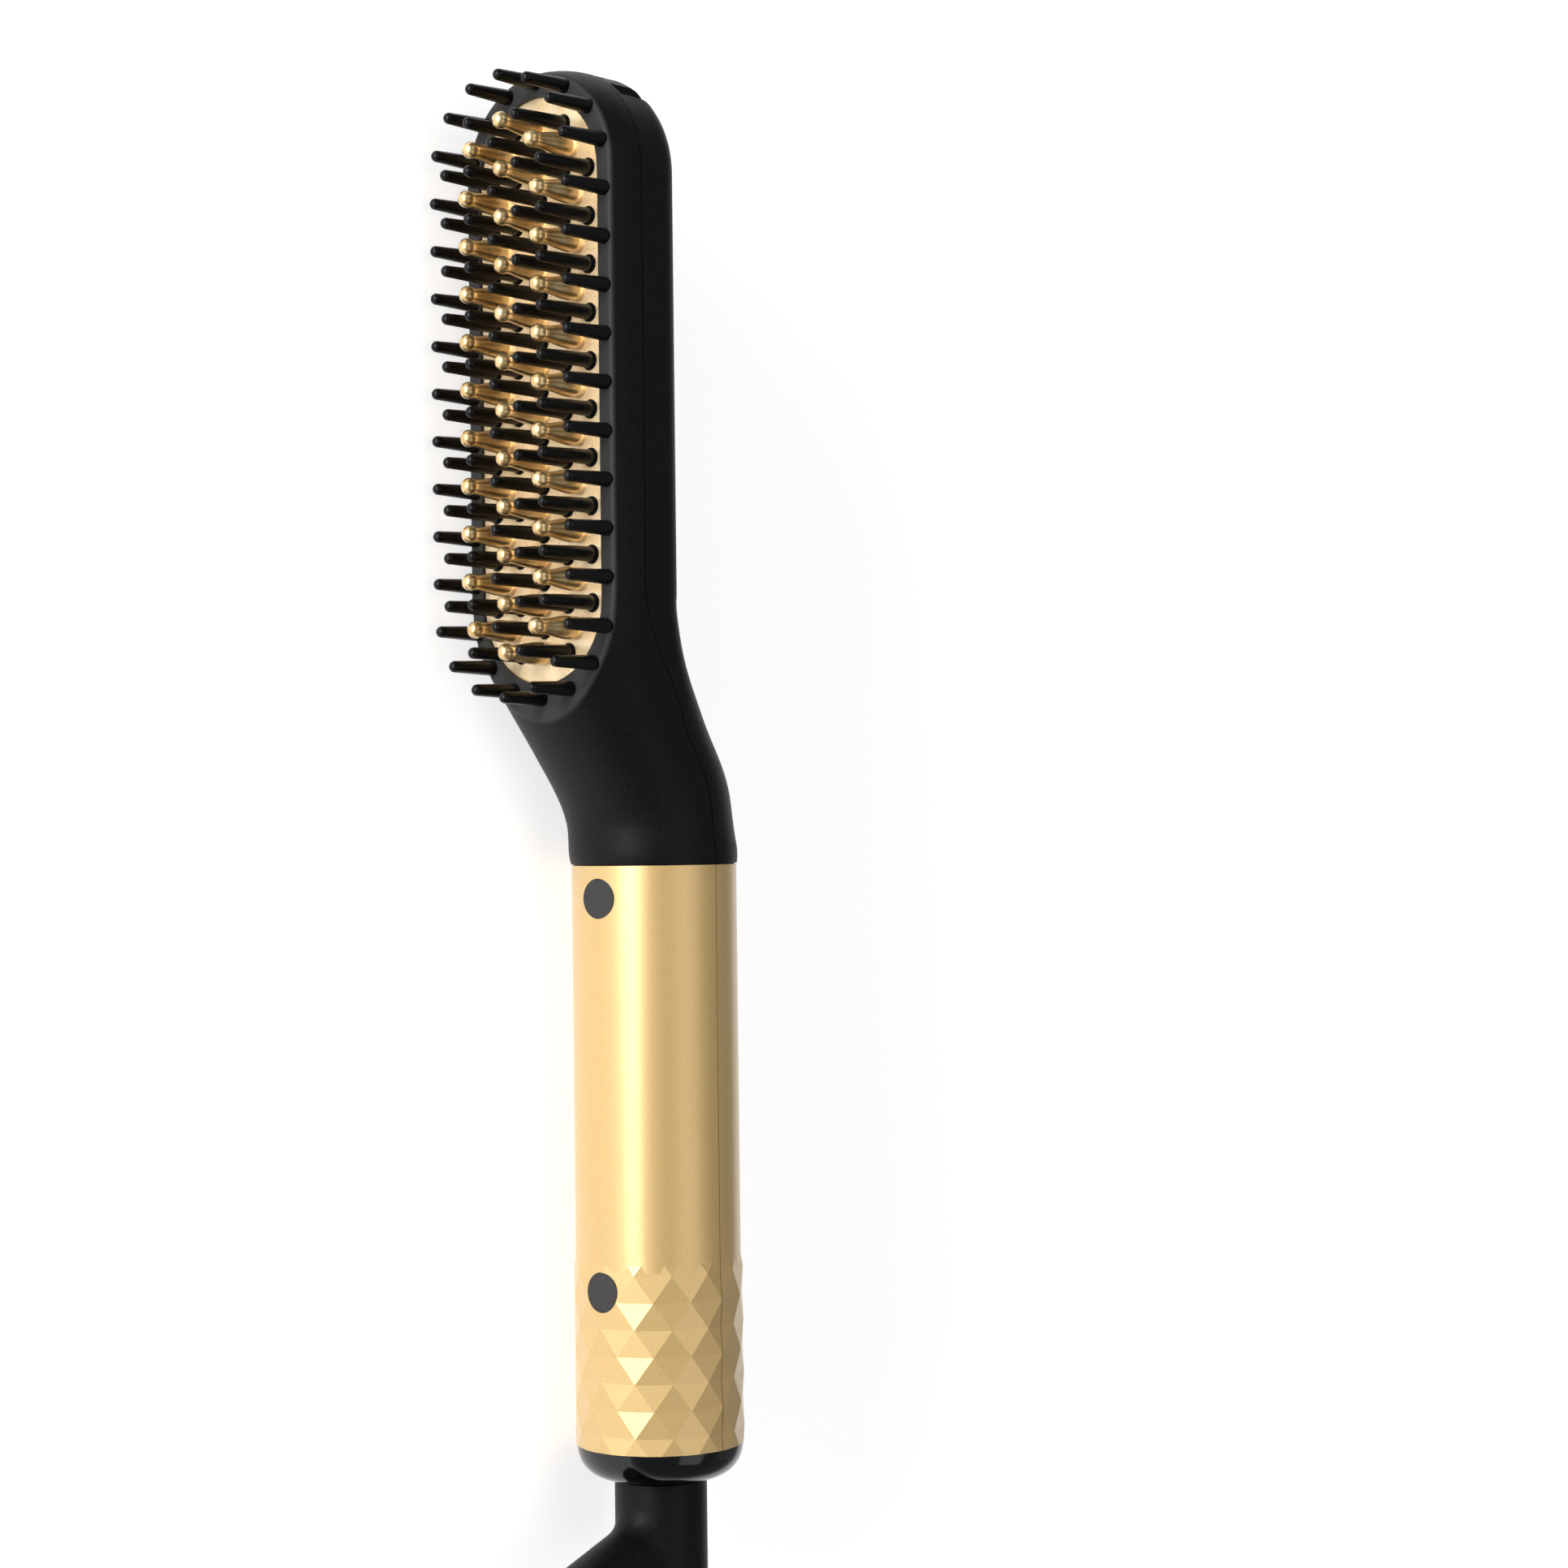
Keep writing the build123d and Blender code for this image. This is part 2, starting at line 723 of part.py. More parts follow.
def groove_cutters():
    """The rows of short grooves on the back of the head, and the long ones over its tip."""
    middle = (GROOVE_COLUMNS - 1) / 2
    lowest = HEAD_TIP - GROOVE_FROM_TIP
    with BuildPart() as cutters:
        with BuildSketch(FACE):
            for column in range(GROOVE_COLUMNS):
                across = (column - middle) * GROOVE_PITCH
                start = lowest + (middle - abs(column - middle)) * GROOVE_STEP
                for row in range(GROOVE_ROWS):
                    centre = start + row * GROOVE_ROW + GROOVE_LENGTH / 2
                    with Locations((across, centre)):
                        SlotOverall(GROOVE_LENGTH, GROOVE_WIDTH, rotation=90)
                long_start = start + GROOVE_ROWS * GROOVE_ROW
                long_end = HEAD_TIP + GROOVE_WIDTH
                with Locations((across, (long_start + long_end) / 2)):
                    SlotOverall(long_end - long_start, GROOVE_WIDTH, rotation=90)
        extrude(amount=PARTING_HEIGHT - GROOVE_DEPTH)
        add(head_form(GROOVE_DEPTH, RIM_FACE), mode=Mode.SUBTRACT)
    return cutters.part


def make_head_back_shell():
    """Back of the neck and head, with the grooves towards the tip."""
    cutters = groove_cutters()
    with BuildPart() as head_back_shell:
        add(head_outside)
        add(head_inside, mode=Mode.SUBTRACT)
        add(spigot_ring)
        add(seam_region, mode=Mode.INTERSECT)
        add(cutters, mode=Mode.SUBTRACT)
    finish(head_back_shell, "head_back_shell")


# ---------------------------------------------------------------- plate, tray and heater


def make_heating_plate():
    """The heated plate, with holes for the tray's pins and for the teeth's studs."""
    with BuildPart() as heating_plate:
        add(oval(head_middle, plate_half_length, plate_half_width, plate_under, plate_face))
        with BuildSketch(FACE.offset(plate_under)):
            with Locations(*[(w, head_middle + l) for w, l in tray_places()]):
                Circle(PIN_COLLAR_RADIUS + PIN_HOLE_CLEARANCE)
            with Locations(*[(w, head_middle + l) for w, l in tooth_places()]):
                Circle(STUD_RADIUS + STUD_FIT)
        extrude(amount=PLATE_THICKNESS, mode=Mode.SUBTRACT)
    finish(heating_plate, "heating_plate")


def make_plate_teeth():
    """The heated teeth, each riveted through the plate and the tray to the heat spreader."""
    with BuildPart() as plate_teeth:
        with Locations(*on_face(tooth_places(), plate_face)):
            add(tooth())
    finish(plate_teeth, "plate_teeth")


collar_top = plate_face + PIN_COLLAR_HEIGHT


def make_bristle_tray():
    """The cool tray under the plate, with a collar up through the plate for each pin."""
    with BuildPart() as bristle_tray:
        add(
            oval(
                head_middle,
                plate_half_length - PLATE_CLEARANCE,
                plate_half_width - PLATE_CLEARANCE,
                tray_under,
                plate_under,
            )
        )
        with BuildSketch(FACE.offset(plate_under)):
            with Locations(*[(w, head_middle + l) for w, l in tray_places()]):
                Circle(PIN_COLLAR_RADIUS)
        extrude(amount=collar_top - plate_under)
        with BuildSketch(FACE.offset(collar_top - PIN_ROOT)):
            with Locations(*[(w, head_middle + l) for w, l in tray_places()]):
                Circle(PIN_ROOT_RADIUS + PIN_FIT)
        extrude(amount=PIN_ROOT, mode=Mode.SUBTRACT)
        with BuildSketch(FACE.offset(tray_under)):
            with Locations(*[(w, head_middle + l) for w, l in tooth_places()]):
                Circle(STUD_RADIUS + STUD_CLEARANCE)
        extrude(amount=TRAY_THICKNESS, mode=Mode.SUBTRACT)
    finish(bristle_tray, "bristle_tray")


def make_tray_pins():
    """The pins that stand in the tray's collars."""
    with BuildPart() as tray_pins:
        with Locations(*on_face(tray_places(), collar_top)):
            add(pin(TRAY_PIN_LENGTH - PIN_COLLAR_HEIGHT))
    finish(tray_pins, "tray_pins")


spreader_half_width = 3 * column_pitch + STUD_RADIUS
spreader_half_length = plate_half_length - SPREADER_END_BORDER
heater_half_length = spreader_half_length - HEATER_END_BORDER


def make_heat_spreader():
    """The aluminium bar that takes the heat from the heater to the teeth's studs."""
    with BuildPart() as heat_spreader:
        add(
            oval(
                head_middle,
                spreader_half_length,
                spreader_half_width,
                spreader_under,
                tray_under,
            )
        )
    finish(heat_spreader, "heat_spreader")


def heater_block(extra):
    """The heater's space, grown by the given thickness on its four long sides."""
    return block(
        (head_middle - heater_half_length, head_middle + heater_half_length),
        (film_under + FILM_THICKNESS - extra, spreader_under - FILM_THICKNESS + extra),
        (-HEATER_HALF_WIDTH - extra, HEATER_HALF_WIDTH + extra),
    )


def make_ptc_heater():
    """The ceramic heater between its electrodes."""
    with BuildPart() as ptc_heater:
        add(heater_block(0))
    finish(ptc_heater, "ptc_heater")


def make_heater_film():
    """The insulating film wrapped round the heater."""
    with BuildPart() as heater_film:
        add(heater_block(FILM_THICKNESS))
        add(heater_block(0), mode=Mode.SUBTRACT)
    finish(heater_film, "heater_film")


def make_heat_shield():
    """The mica sheet behind the heater."""
    with BuildPart() as heat_shield:
        add(
            oval(
                head_middle,
                spreader_half_length,
                spreader_half_width,
                shield_under,
                film_under,
            )
        )
    finish(heat_shield, "heat_shield")


def make_strap(name, along):
    """A steel strap that holds the stack up against the rim, screwed to two bosses."""
    with BuildPart() as strap:
        reach = head_boss_offset + HEAD_BOSS_RADIUS
        add(
            block(
                (along - STRAP_HALF_WIDTH, along + STRAP_HALF_WIDTH),
                (strap_under, shield_under),
                (-reach, reach),
            )
        )
        for side in (1, -1):
            add(
                post(
                    along,
                    side * head_boss_offset,
                    strap_under,
                    shield_under,
                    STRAP_SCREW_RADIUS + SCREW_CLEARANCE,
                ),
                mode=Mode.SUBTRACT,
            )
    finish(strap, name)


def make_strap_screw(name, along, across):
    """A small pan-head screw through a strap into its boss."""
    with BuildPart() as strap_screw:
        head_end = strap_under - STRAP_SCREW_HEAD_HEIGHT
        add(post(along, across, head_end, strap_under, STRAP_SCREW_HEAD_RADIUS))
        shank_end = strap_under + STRAP_SCREW_LENGTH
        add(post(along, across, strap_under, shank_end, STRAP_SCREW_RADIUS))
    finish(strap_screw, name)


def make_thermal_fuse():
    """The thermal fuse on the back of the heat shield."""
    middle = head_middle - FUSE_LENGTH
    with BuildPart() as thermal_fuse:
        add(
            rod(
                middle - FUSE_LENGTH / 2,
                middle + FUSE_LENGTH / 2,
                FUSE_RADIUS,
                shield_under - FUSE_RADIUS,
                HEATER_HALF_WIDTH / 2,
            )
        )
    finish(thermal_fuse, "thermal_fuse")


def make_thermistor():
    """The temperature sensor beside the fuse."""
    middle = head_middle + FUSE_LENGTH
    with BuildPart() as thermistor:
        add(
            rod(
                middle - SENSOR_LENGTH / 2,
                middle + SENSOR_LENGTH / 2,
                SENSOR_RADIUS,
                shield_under - SENSOR_RADIUS,
                -HEATER_HALF_WIDTH / 2,
            )
        )
    finish(thermistor, "thermistor")


# ---------------------------------------------------------------- the handle's shells


def faceted_band():
    """The tail end of the handle: rings of points, turned half a step each, joined by triangles."""
    fade_start = -(FACET_START - FACET_PITCH)
    rings = ceil((SLEEVE_LENGTH - FACET_START) / FACET_PITCH) + 2
    corners = []
    for ring in range(rings):
        radius = HANDLE_RADIUS - FACET_FADE if ring == 0 else facet_radius
        along = fade_start - ring * FACET_PITCH
        turn = 0.5 if ring % 2 == 0 else 0.0
        angles = [2 * pi * (side + turn) / FACET_SIDES for side in range(FACET_SIDES)]
        corners.append([at(along, radius * cos(a), radius * sin(a)) for a in angles])
    triangles = []
    for ring in range(rings - 1):
        upper, lower = corners[ring], corners[ring + 1]
        for side in range(FACET_SIDES):
            after = (side + 1) % FACET_SIDES
            if ring % 2 == 0:
                triangles.append((upper[side], lower[side], lower[after]))
                triangles.append((upper[side], lower[after], upper[after]))
            else:
                triangles.append((upper[side], lower[side], upper[after]))
                triangles.append((upper[after], lower[side], lower[after]))
    faces = [Face(Wire.make_polygon(points)) for points in triangles]
    faces += [Face(Wire.make_polygon(ring)) for ring in (corners[0], corners[-1])]
    return Solid(Shell(faces))


def handle_tube():
    """The whole sleeve before it is cut into halves."""
    band = faceted_band()
    fade_end = -(FACET_START - FACET_PITCH / 10)
    with BuildPart() as tube:
        add(band)
        add(
            rod(-SLEEVE_LENGTH, -SLEEVE_LENGTH - 3 * FACET_PITCH, 2 * facet_radius),
            mode=Mode.SUBTRACT,
        )
        add(rod(fade_end, 0, HANDLE_RADIUS))
        add(
            block(
                (-SLEEVE_LENGTH, 0),
                (-SEAM_WIDTH / 2, SEAM_WIDTH / 2),
                (-2 * facet_radius, 2 * facet_radius),
            ),
            mode=Mode.SUBTRACT,
        )
        add(rod(-SLEEVE_LENGTH, 0, HANDLE_RADIUS - SEAM_DEPTH))
        add(rod(-SLEEVE_LENGTH, 0, sleeve_bore), mode=Mode.SUBTRACT)
    return tube.part


sleeve_tube = handle_tube()
screw_places = (-UPPER_SCREW, -LOWER_SCREW)


def half_space(side):
    """The front (1) or back (-1) half of the handle's space."""
    reach = facet_radius + OVERSHOOT
    return block((-SLEEVE_LENGTH - OVERSHOOT, OVERSHOOT), (0, side * reach), (-reach, reach))


def make_handle_front_shell():
    """Front half of the sleeve, with the deep bosses that the screws go down."""
    plug_seat = HANDLE_RADIUS - PLUG_SINK - PLUG_THICKNESS
    with BuildPart() as handle_front_shell:
        add(sleeve_tube)
        add(half_space(1), mode=Mode.INTERSECT)
        for along in screw_places:
            add(post(along, 0, BOSS_MEETING, sleeve_bore + SLEEVE_WALL / 2, FRONT_BOSS_RADIUS))
            outside = facet_radius + OVERSHOOT
            add(post(along, 0, plug_seat, outside, PLUG_RADIUS), mode=Mode.SUBTRACT)
            head_bore = SCREW_HEAD_RADIUS + SCREW_HEAD_CLEARANCE
            add(post(along, 0, SCREW_SEAT, plug_seat, head_bore), mode=Mode.SUBTRACT)
            shank_bore = SCREW_SHANK_RADIUS + SCREW_HEAD_CLEARANCE
            add(post(along, 0, BOSS_MEETING, SCREW_SEAT, shank_bore), mode=Mode.SUBTRACT)
    finish(handle_front_shell, "handle_front_shell")


def panel_oval(start, length, half_width, floor, depth):
    """A recess with round ends in the back of the handle, outwards from n = floor."""
    middle = -(start + length / 2)
    return oval(middle, length / 2, half_width, floor, floor - depth)


stem_opening_low = button_middle - STEM_HALF_LENGTH - STEM_CLEARANCE
stem_opening_high = button_middle + button_travel + STEM_HALF_LENGTH + STEM_CLEARANCE
stem_opening_half = STEM_HALF_WIDTH + STEM_CLEARANCE


def make_handle_back_shell():
    """Back half of the sleeve, with the sunk panel for the button and the indicator."""
    panel_end = PANEL_START + PANEL_LENGTH
    with BuildPart() as bed:
        bed_start = -NECK_SPIGOT - SPIGOT_CLEARANCE
        bed_end = -panel_end - BED_THICKNESS
        add(
            block(
                (bed_end, bed_start),
                (bed_floor, panel_floor - PANEL_DEPTH),
                (-BED_HALF_WIDTH, BED_HALF_WIDTH),
            )
        )
        add(rod(bed_end, bed_start, HANDLE_RADIUS - SLEEVE_WALL / 2), mode=Mode.INTERSECT)
    with BuildPart() as handle_back_shell:
        add(sleeve_tube)
        add(half_space(-1), mode=Mode.INTERSECT)
        add(bed.part)
        for along in screw_places:
            boss_foot = -sqrt(sleeve_bore**2 - BACK_BOSS_RADIUS**2)
            add(post(along, 0, boss_foot - SCREW_CLEARANCE, BOSS_MEETING, BACK_BOSS_RADIUS))
            pilot = SCREW_SHANK_RADIUS + SCREW_CLEARANCE
            depth = SCREW_SEAT - SCREW_LENGTH - SCREW_HEAD_CLEARANCE
            add(post(along, 0, depth, BOSS_MEETING, pilot), mode=Mode.SUBTRACT)
        add(
            panel_oval(PANEL_START, PANEL_LENGTH, PANEL_HALF_WIDTH, panel_floor, SLEEVE_WALL),
            mode=Mode.SUBTRACT,
        )
        add(
            panel_oval(SLOT_START, SLOT_LENGTH, SLOT_HALF_WIDTH, slot_floor, 2 * SLEEVE_WALL),
            mode=Mode.SUBTRACT,
        )
        add(
            block(
                (stem_opening_low, stem_opening_high),
                (bed_floor, slot_floor),
                (-stem_opening_half, stem_opening_half),
            ),
            mode=Mode.SUBTRACT,
        )
        add(
            oval(
                -WINDOW_POSITION,
                WINDOW_LENGTH / 2,
                WINDOW_WIDTH / 2,
                bed_floor,
                panel_floor,
            ),
            mode=Mode.SUBTRACT,
        )
    finish(handle_back_shell, "handle_back_shell")


def make_screw_plug(name, along):
    """A soft plug that hides a handle screw."""
    with BuildPart() as screw_plug:
        plug_face = HANDLE_RADIUS - PLUG_SINK
        add(post(along, 0, plug_face - PLUG_THICKNESS, plug_face, PLUG_RADIUS))
    finish(screw_plug, name)


def make_handle_screw(name, along):
    """A self-tapping screw that pulls the handle's halves together."""
    with BuildPart() as handle_screw:
        head_top = SCREW_SEAT + SCREW_HEAD_HEIGHT
        add(post(along, 0, SCREW_SEAT, head_top, SCREW_HEAD_RADIUS))
        add(post(along, 0, SCREW_SEAT - SCREW_LENGTH, SCREW_SEAT, SCREW_SHANK_RADIUS))
        with BuildSketch(FACE.offset(head_top)):
            with Locations((0, along)):
                Rectangle(2 * SCREW_CROSS_REACH, SCREW_CROSS_WIDTH)
                Rectangle(SCREW_CROSS_WIDTH, 2 * SCREW_CROSS_REACH)
        extrude(amount=-SCREW_CROSS_DEPTH, mode=Mode.SUBTRACT)
    finish(handle_screw, name)


# ---------------------------------------------------------------- switch, board and indicator


def make_switch_button():
    """The sliding button: an oval with a diamond grip, and the stem that moves the switch."""
    half_width = SLOT_HALF_WIDTH - BUTTON_CLEARANCE
    underside = slot_floor - BUTTON_CLEARANCE
    with BuildPart() as switch_button:
        add(oval(button_middle, BUTTON_LENGTH / 2, half_width, underside, button_top))
        top = switch_button.faces().sort_by(Axis.Y)[-1]
        chamfer(top.edges(), length=BUTTON_ROUNDING)
        lines = ceil(BUTTON_LENGTH / GRIP_PITCH) + 1
        for line in range(-lines, lines + 1):
            for lean in (1, -1):
                groove_plane = Plane(
                    origin=at(button_middle + line * GRIP_PITCH, button_top, 0),
                    x_dir=(0, 1, 0),
                    z_dir=(-GRIP_PITCH / 2, 0, lean * GRIP_HALF_WIDTH),
                )
                with BuildSketch(groove_plane):
                    with BuildLine():
                        Polyline(
                            (0, -GRIP_GROOVE), (0, GRIP_GROOVE), (-GRIP_DEPTH, 0), close=True
                        )
                    make_face()
                extrude(amount=BUTTON_LENGTH, both=True, mode=Mode.SUBTRACT)
        add(
            block(
                (button_middle - STEM_HALF_LENGTH, button_middle + STEM_HALF_LENGTH),
                (underside, contact_top),
                (-STEM_HALF_WIDTH, STEM_HALF_WIDTH),
            )
        )
    finish(switch_button, "switch_button")


def make_slider_contact():
    """The sprung contact bridge under the button's stem."""
    with BuildPart() as slider_contact:
        add(
            block(
                (button_middle - STEM_HALF_LENGTH, button_middle + STEM_HALF_LENGTH),
                (contact_top, contact_top + CONTACT_THICKNESS),
                (-CONTACT_HALF_WIDTH, CONTACT_HALF_WIDTH),
            )
        )
    finish(slider_contact, "slider_contact")


def make_slide_switch():
    """The switch's housing on the board, open on top where the stem comes in."""
    inner = CONTACT_HALF_WIDTH + STEM_CLEARANCE
    with BuildPart() as slide_switch:
        add(
            block(
                (stem_opening_low - SWITCH_WALL, stem_opening_high + SWITCH_WALL),
                (bed_floor, board_back),
                (-SWITCH_HALF_WIDTH, SWITCH_HALF_WIDTH),
            )
        )
        add(
            block(
                (stem_opening_low, stem_opening_high),
                (bed_floor + SWITCH_WALL, board_back - SWITCH_WALL),
                (-inner, inner),
            ),
            mode=Mode.SUBTRACT,
        )
        add(
            block(
                (stem_opening_low, stem_opening_high),
                (bed_floor, bed_floor + SWITCH_WALL),
                (-stem_opening_half, stem_opening_half),
            ),
            mode=Mode.SUBTRACT,
        )
    finish(slide_switch, "slide_switch")


def make_circuit_board():
    """The board across the handle."""
    with BuildPart() as circuit_board:
        add(
            block(
                (-BOARD_START - BOARD_LENGTH, -BOARD_START),
                (board_back, board_front),
                (-board_half_width, board_half_width),
            )
        )
    finish(circuit_board, "circuit_board")


def make_led():
    """The light under the window."""
    with BuildPart() as led:
        add(
            block(
                (-WINDOW_POSITION - LED_LENGTH / 2, -WINDOW_POSITION + LED_LENGTH / 2),
                (board_back - LED_HEIGHT, board_back),
                (-LED_WIDTH / 2, LED_WIDTH / 2),
            )
        )
    finish(led, "led")


def make_indicator_lens():
    """The dark lens in the window, with a light guide down to the light."""
    with BuildPart() as indicator_lens:
        add(
            oval(
                -WINDOW_POSITION,
                WINDOW_LENGTH / 2,
                WINDOW_WIDTH / 2,
                board_back - LED_HEIGHT,
                panel_floor - LENS_RISE,
            )
        )
        face = indicator_lens.faces().sort_by(Axis.Y)[-1]
        fillet(face.edges(), radius=LENS_ROUNDING)
    finish(indicator_lens, "indicator_lens")


def make_board_components():
    """The parts on the board's front: a capacitor, a triac and a resistor."""
    capacitor_low = -BOARD_START - CAPACITOR_START
    with BuildPart() as capacitor:
        height = board_front + CAPACITOR_RADIUS
        add(rod(capacitor_low, capacitor_low + CAPACITOR_LENGTH, CAPACITOR_RADIUS, height))
    finish(capacitor, "capacitor")
    triac_top = capacitor_low - COMPONENT_GAP
    with BuildPart() as triac:
        add(
            block(
                (triac_top - TRIAC_LENGTH, triac_top),
                (board_front, board_front + TRIAC_HEIGHT),
                (-TRIAC_WIDTH / 2, TRIAC_WIDTH / 2),
            )
        )
    finish(triac, "triac")
    resistor_top = triac_top - TRIAC_LENGTH - COMPONENT_GAP
    with BuildPart() as resistor:
        height = board_front + RESISTOR_RADIUS
        add(rod(resistor_top - RESISTOR_LENGTH, resistor_top, RESISTOR_RADIUS, height))
    finish(resistor, "resistor")


def make_leads():
    """The leads up the neck to the heater, and the leads from the slip contacts to the board."""
    lead_height = board_front + LEAD_RADIUS
    board_end = -BOARD_START - BOARD_LENGTH
    heater_start = head_middle - heater_half_length
    heater_height = (film_under + spreader_under) / 2
    for name, side in (("live", 1), ("neutral", -1)):
        wide = side * LEAD_SPREAD
        narrow = side * LEAD_HEATER_SPREAD
        with BuildPart() as heater_lead:
            route = (
                (-BOARD_START - LEAD_OVERLAP, lead_height, wide),
                (LEAD_RISE_START, lead_height, wide),
                (heater_start - LEAD_STRAIGHT, heater_height, narrow),
                (heater_start, heater_height, narrow),
            )
            add(wire(route, LEAD_RADIUS, LEAD_BEND))
        finish(heater_lead, f"heater_lead_{name}")
        with BuildPart() as mains_lead:
            route = (
                (carrier_top, LEAD_CENTRE, wide),
                (board_end - LEAD_OVERLAP, LEAD_CENTRE, wide),
                (board_end + LEAD_OVERLAP, lead_height, wide),
                (board_end + 2 * LEAD_OVERLAP, lead_height, wide),
            )
            add(wire(route, LEAD_RADIUS, LEAD_BEND))
        finish(mains_lead, f"mains_lead_{name}")


# ---------------------------------------------------------------- end cap and swivel

cap_radius = HANDLE_RADIUS + CAP_RISE
neck_top = swivel_top + SWIVEL_NECK_LENGTH
clip_low = cap_end + CAP_FLOOR + CLIP_CLEARANCE
slip_ring_top = neck_top - SLIP_RING_SETBACK
carrier_low = neck_top + SLIP_PIN_LENGTH / 2 + CONTACT_GAP + BRUSH_THICKNESS
carrier_top = carrier_low + CARRIER_THICKNESS


def make_end_cap():
    """The domed cap that closes the tail, with a spigot into the sleeve and the swivel's bearing."""
    with BuildPart() as end_cap:
        with BuildSketch(SIDE):
            with BuildLine():
                Line((cap_end, 0), (cap_end, CAP_FACE_RADIUS))
                Bezier(
                    (cap_end, CAP_FACE_RADIUS),
                    (cap_end, blend(CAP_FACE_RADIUS, cap_radius, 0.6)),
                    (blend(cap_end, -SLEEVE_LENGTH, 0.45), cap_radius),
                    (-SLEEVE_LENGTH, cap_radius),
                )
                Polyline(
                    (-SLEEVE_LENGTH, cap_radius),
                    (-SLEEVE_LENGTH, spigot_radius),
                    (-SLEEVE_LENGTH + CAP_SPIGOT, spigot_radius),
                    (-SLEEVE_LENGTH + CAP_SPIGOT, spigot_radius - SPIGOT_WALL),
                    (cap_end + CAP_FLOOR, spigot_radius - SPIGOT_WALL),
                    (cap_end + CAP_FLOOR, 0),
                    (cap_end, 0),
                )
            make_face()
        revolve(axis=HANDLE_AXIS)
        bearing = SWIVEL_NECK_RADIUS + RUNNING_FIT
        add(rod(cap_end, cap_end + CAP_FLOOR, bearing), mode=Mode.SUBTRACT)
    finish(end_cap, "end_cap")


def make_swivel_elbow():
    """The swivel: a neck that turns in the cap, a collar below it and the arm that the cord leaves by."""
    bottom = swivel_top - SWIVEL_LENGTH
    with BuildPart() as swivel_elbow:
        add(rod(bottom, swivel_top, SWIVEL_RADIUS))
        with BuildSketch(ARM):
            Circle(ARM_RADIUS)
        extrude(amount=ARM_REACH)
        crease = swivel_elbow.edges().filter_by(GeomType.BSPLINE)
        fillet(crease, radius=ARM_BLEND)
        arm_end = swivel_elbow.faces().sort_by(ARM_AXIS)[-1]
        fillet(arm_end.edges(), radius=ARM_ROUNDING)
        heel = swivel_elbow.faces().filter_by(GeomType.PLANE).sort_by(HANDLE_AXIS)[0]
        fillet(heel.edges(), radius=HEEL_ROUNDING)
        add(rod(swivel_top, neck_top, SWIVEL_NECK_RADIUS))
        with BuildSketch(SECTION.offset(clip_low)):
            Circle(2 * SWIVEL_NECK_RADIUS)
            Circle(SWIVEL_NECK_RADIUS - CLIP_GROOVE, mode=Mode.SUBTRACT)
        extrude(amount=CLIP_THICKNESS, mode=Mode.SUBTRACT)
        with BuildSketch(ARM.offset(ARM_REACH - BOOT_TENON)):
            Circle(BOOT_CORE_RADIUS)
        extrude(amount=BOOT_TENON, mode=Mode.SUBTRACT)
        with BuildSketch(ARM):
            Circle(ARM_BORE_RADIUS)
        extrude(amount=ARM_REACH, mode=Mode.SUBTRACT)
        add(
            rod(arm_root, neck_top - SLIP_PIN_LENGTH / 2, CORD_RADIUS),
            mode=Mode.SUBTRACT,
        )
        add(
            rod(neck_top - SLIP_PIN_LENGTH / 2, neck_top, SLIP_PIN_RADIUS),
            mode=Mode.SUBTRACT,
        )
    finish(swivel_elbow, "swivel_elbow")


def make_strain_relief():
    """The ribbed boot that keeps the cord from kinking where it leaves the arm."""
    with BuildPart() as strain_relief:
        core_length = boot_end - ARM_REACH
        with BuildSketch(ARM.offset(ARM_REACH - BOOT_TENON)):
            Circle(BOOT_CORE_RADIUS)
        extrude(amount=BOOT_TENON)
        with BuildSketch(ARM.offset(ARM_REACH)):
            Circle(BOOT_CORE_RADIUS)
        with BuildSketch(ARM.offset(ARM_REACH + core_length)):
            Circle(BOOT_CORE_END)
        loft()
        for rib in range(BOOT_RIBS):
            share = rib / (BOOT_RIBS - 1)
            rib_end = ARM_REACH + (rib + 1) * BOOT_RIB_PITCH
            with BuildSketch(ARM.offset(rib_end)):
                Circle(blend(BOOT_RIB_RADIUS, BOOT_RIB_END, share))
            extrude(amount=-BOOT_RIB_WIDTH)
        with BuildSketch(ARM.offset(ARM_REACH - BOOT_TENON)):
            Circle(CORD_RADIUS + CORD_CLEARANCE)
        extrude(amount=BOOT_TENON + core_length, mode=Mode.SUBTRACT)
    finish(strain_relief, "strain_relief")


def make_retaining_clip():
    """The clip in the swivel neck's groove that keeps it in the cap, open on one side."""
    with BuildPart() as retaining_clip:
        inner = SWIVEL_NECK_RADIUS - CLIP_GROOVE
        with BuildSketch(SECTION.offset(clip_low)):
            Circle(CLIP_RADIUS)
            Circle(inner, mode=Mode.SUBTRACT)
            with Locations((-CLIP_RADIUS, 0)):
                Rectangle(2 * CLIP_RADIUS, inner, mode=Mode.SUBTRACT)
        extrude(amount=CLIP_THICKNESS)
    finish(retaining_clip, "retaining_clip")


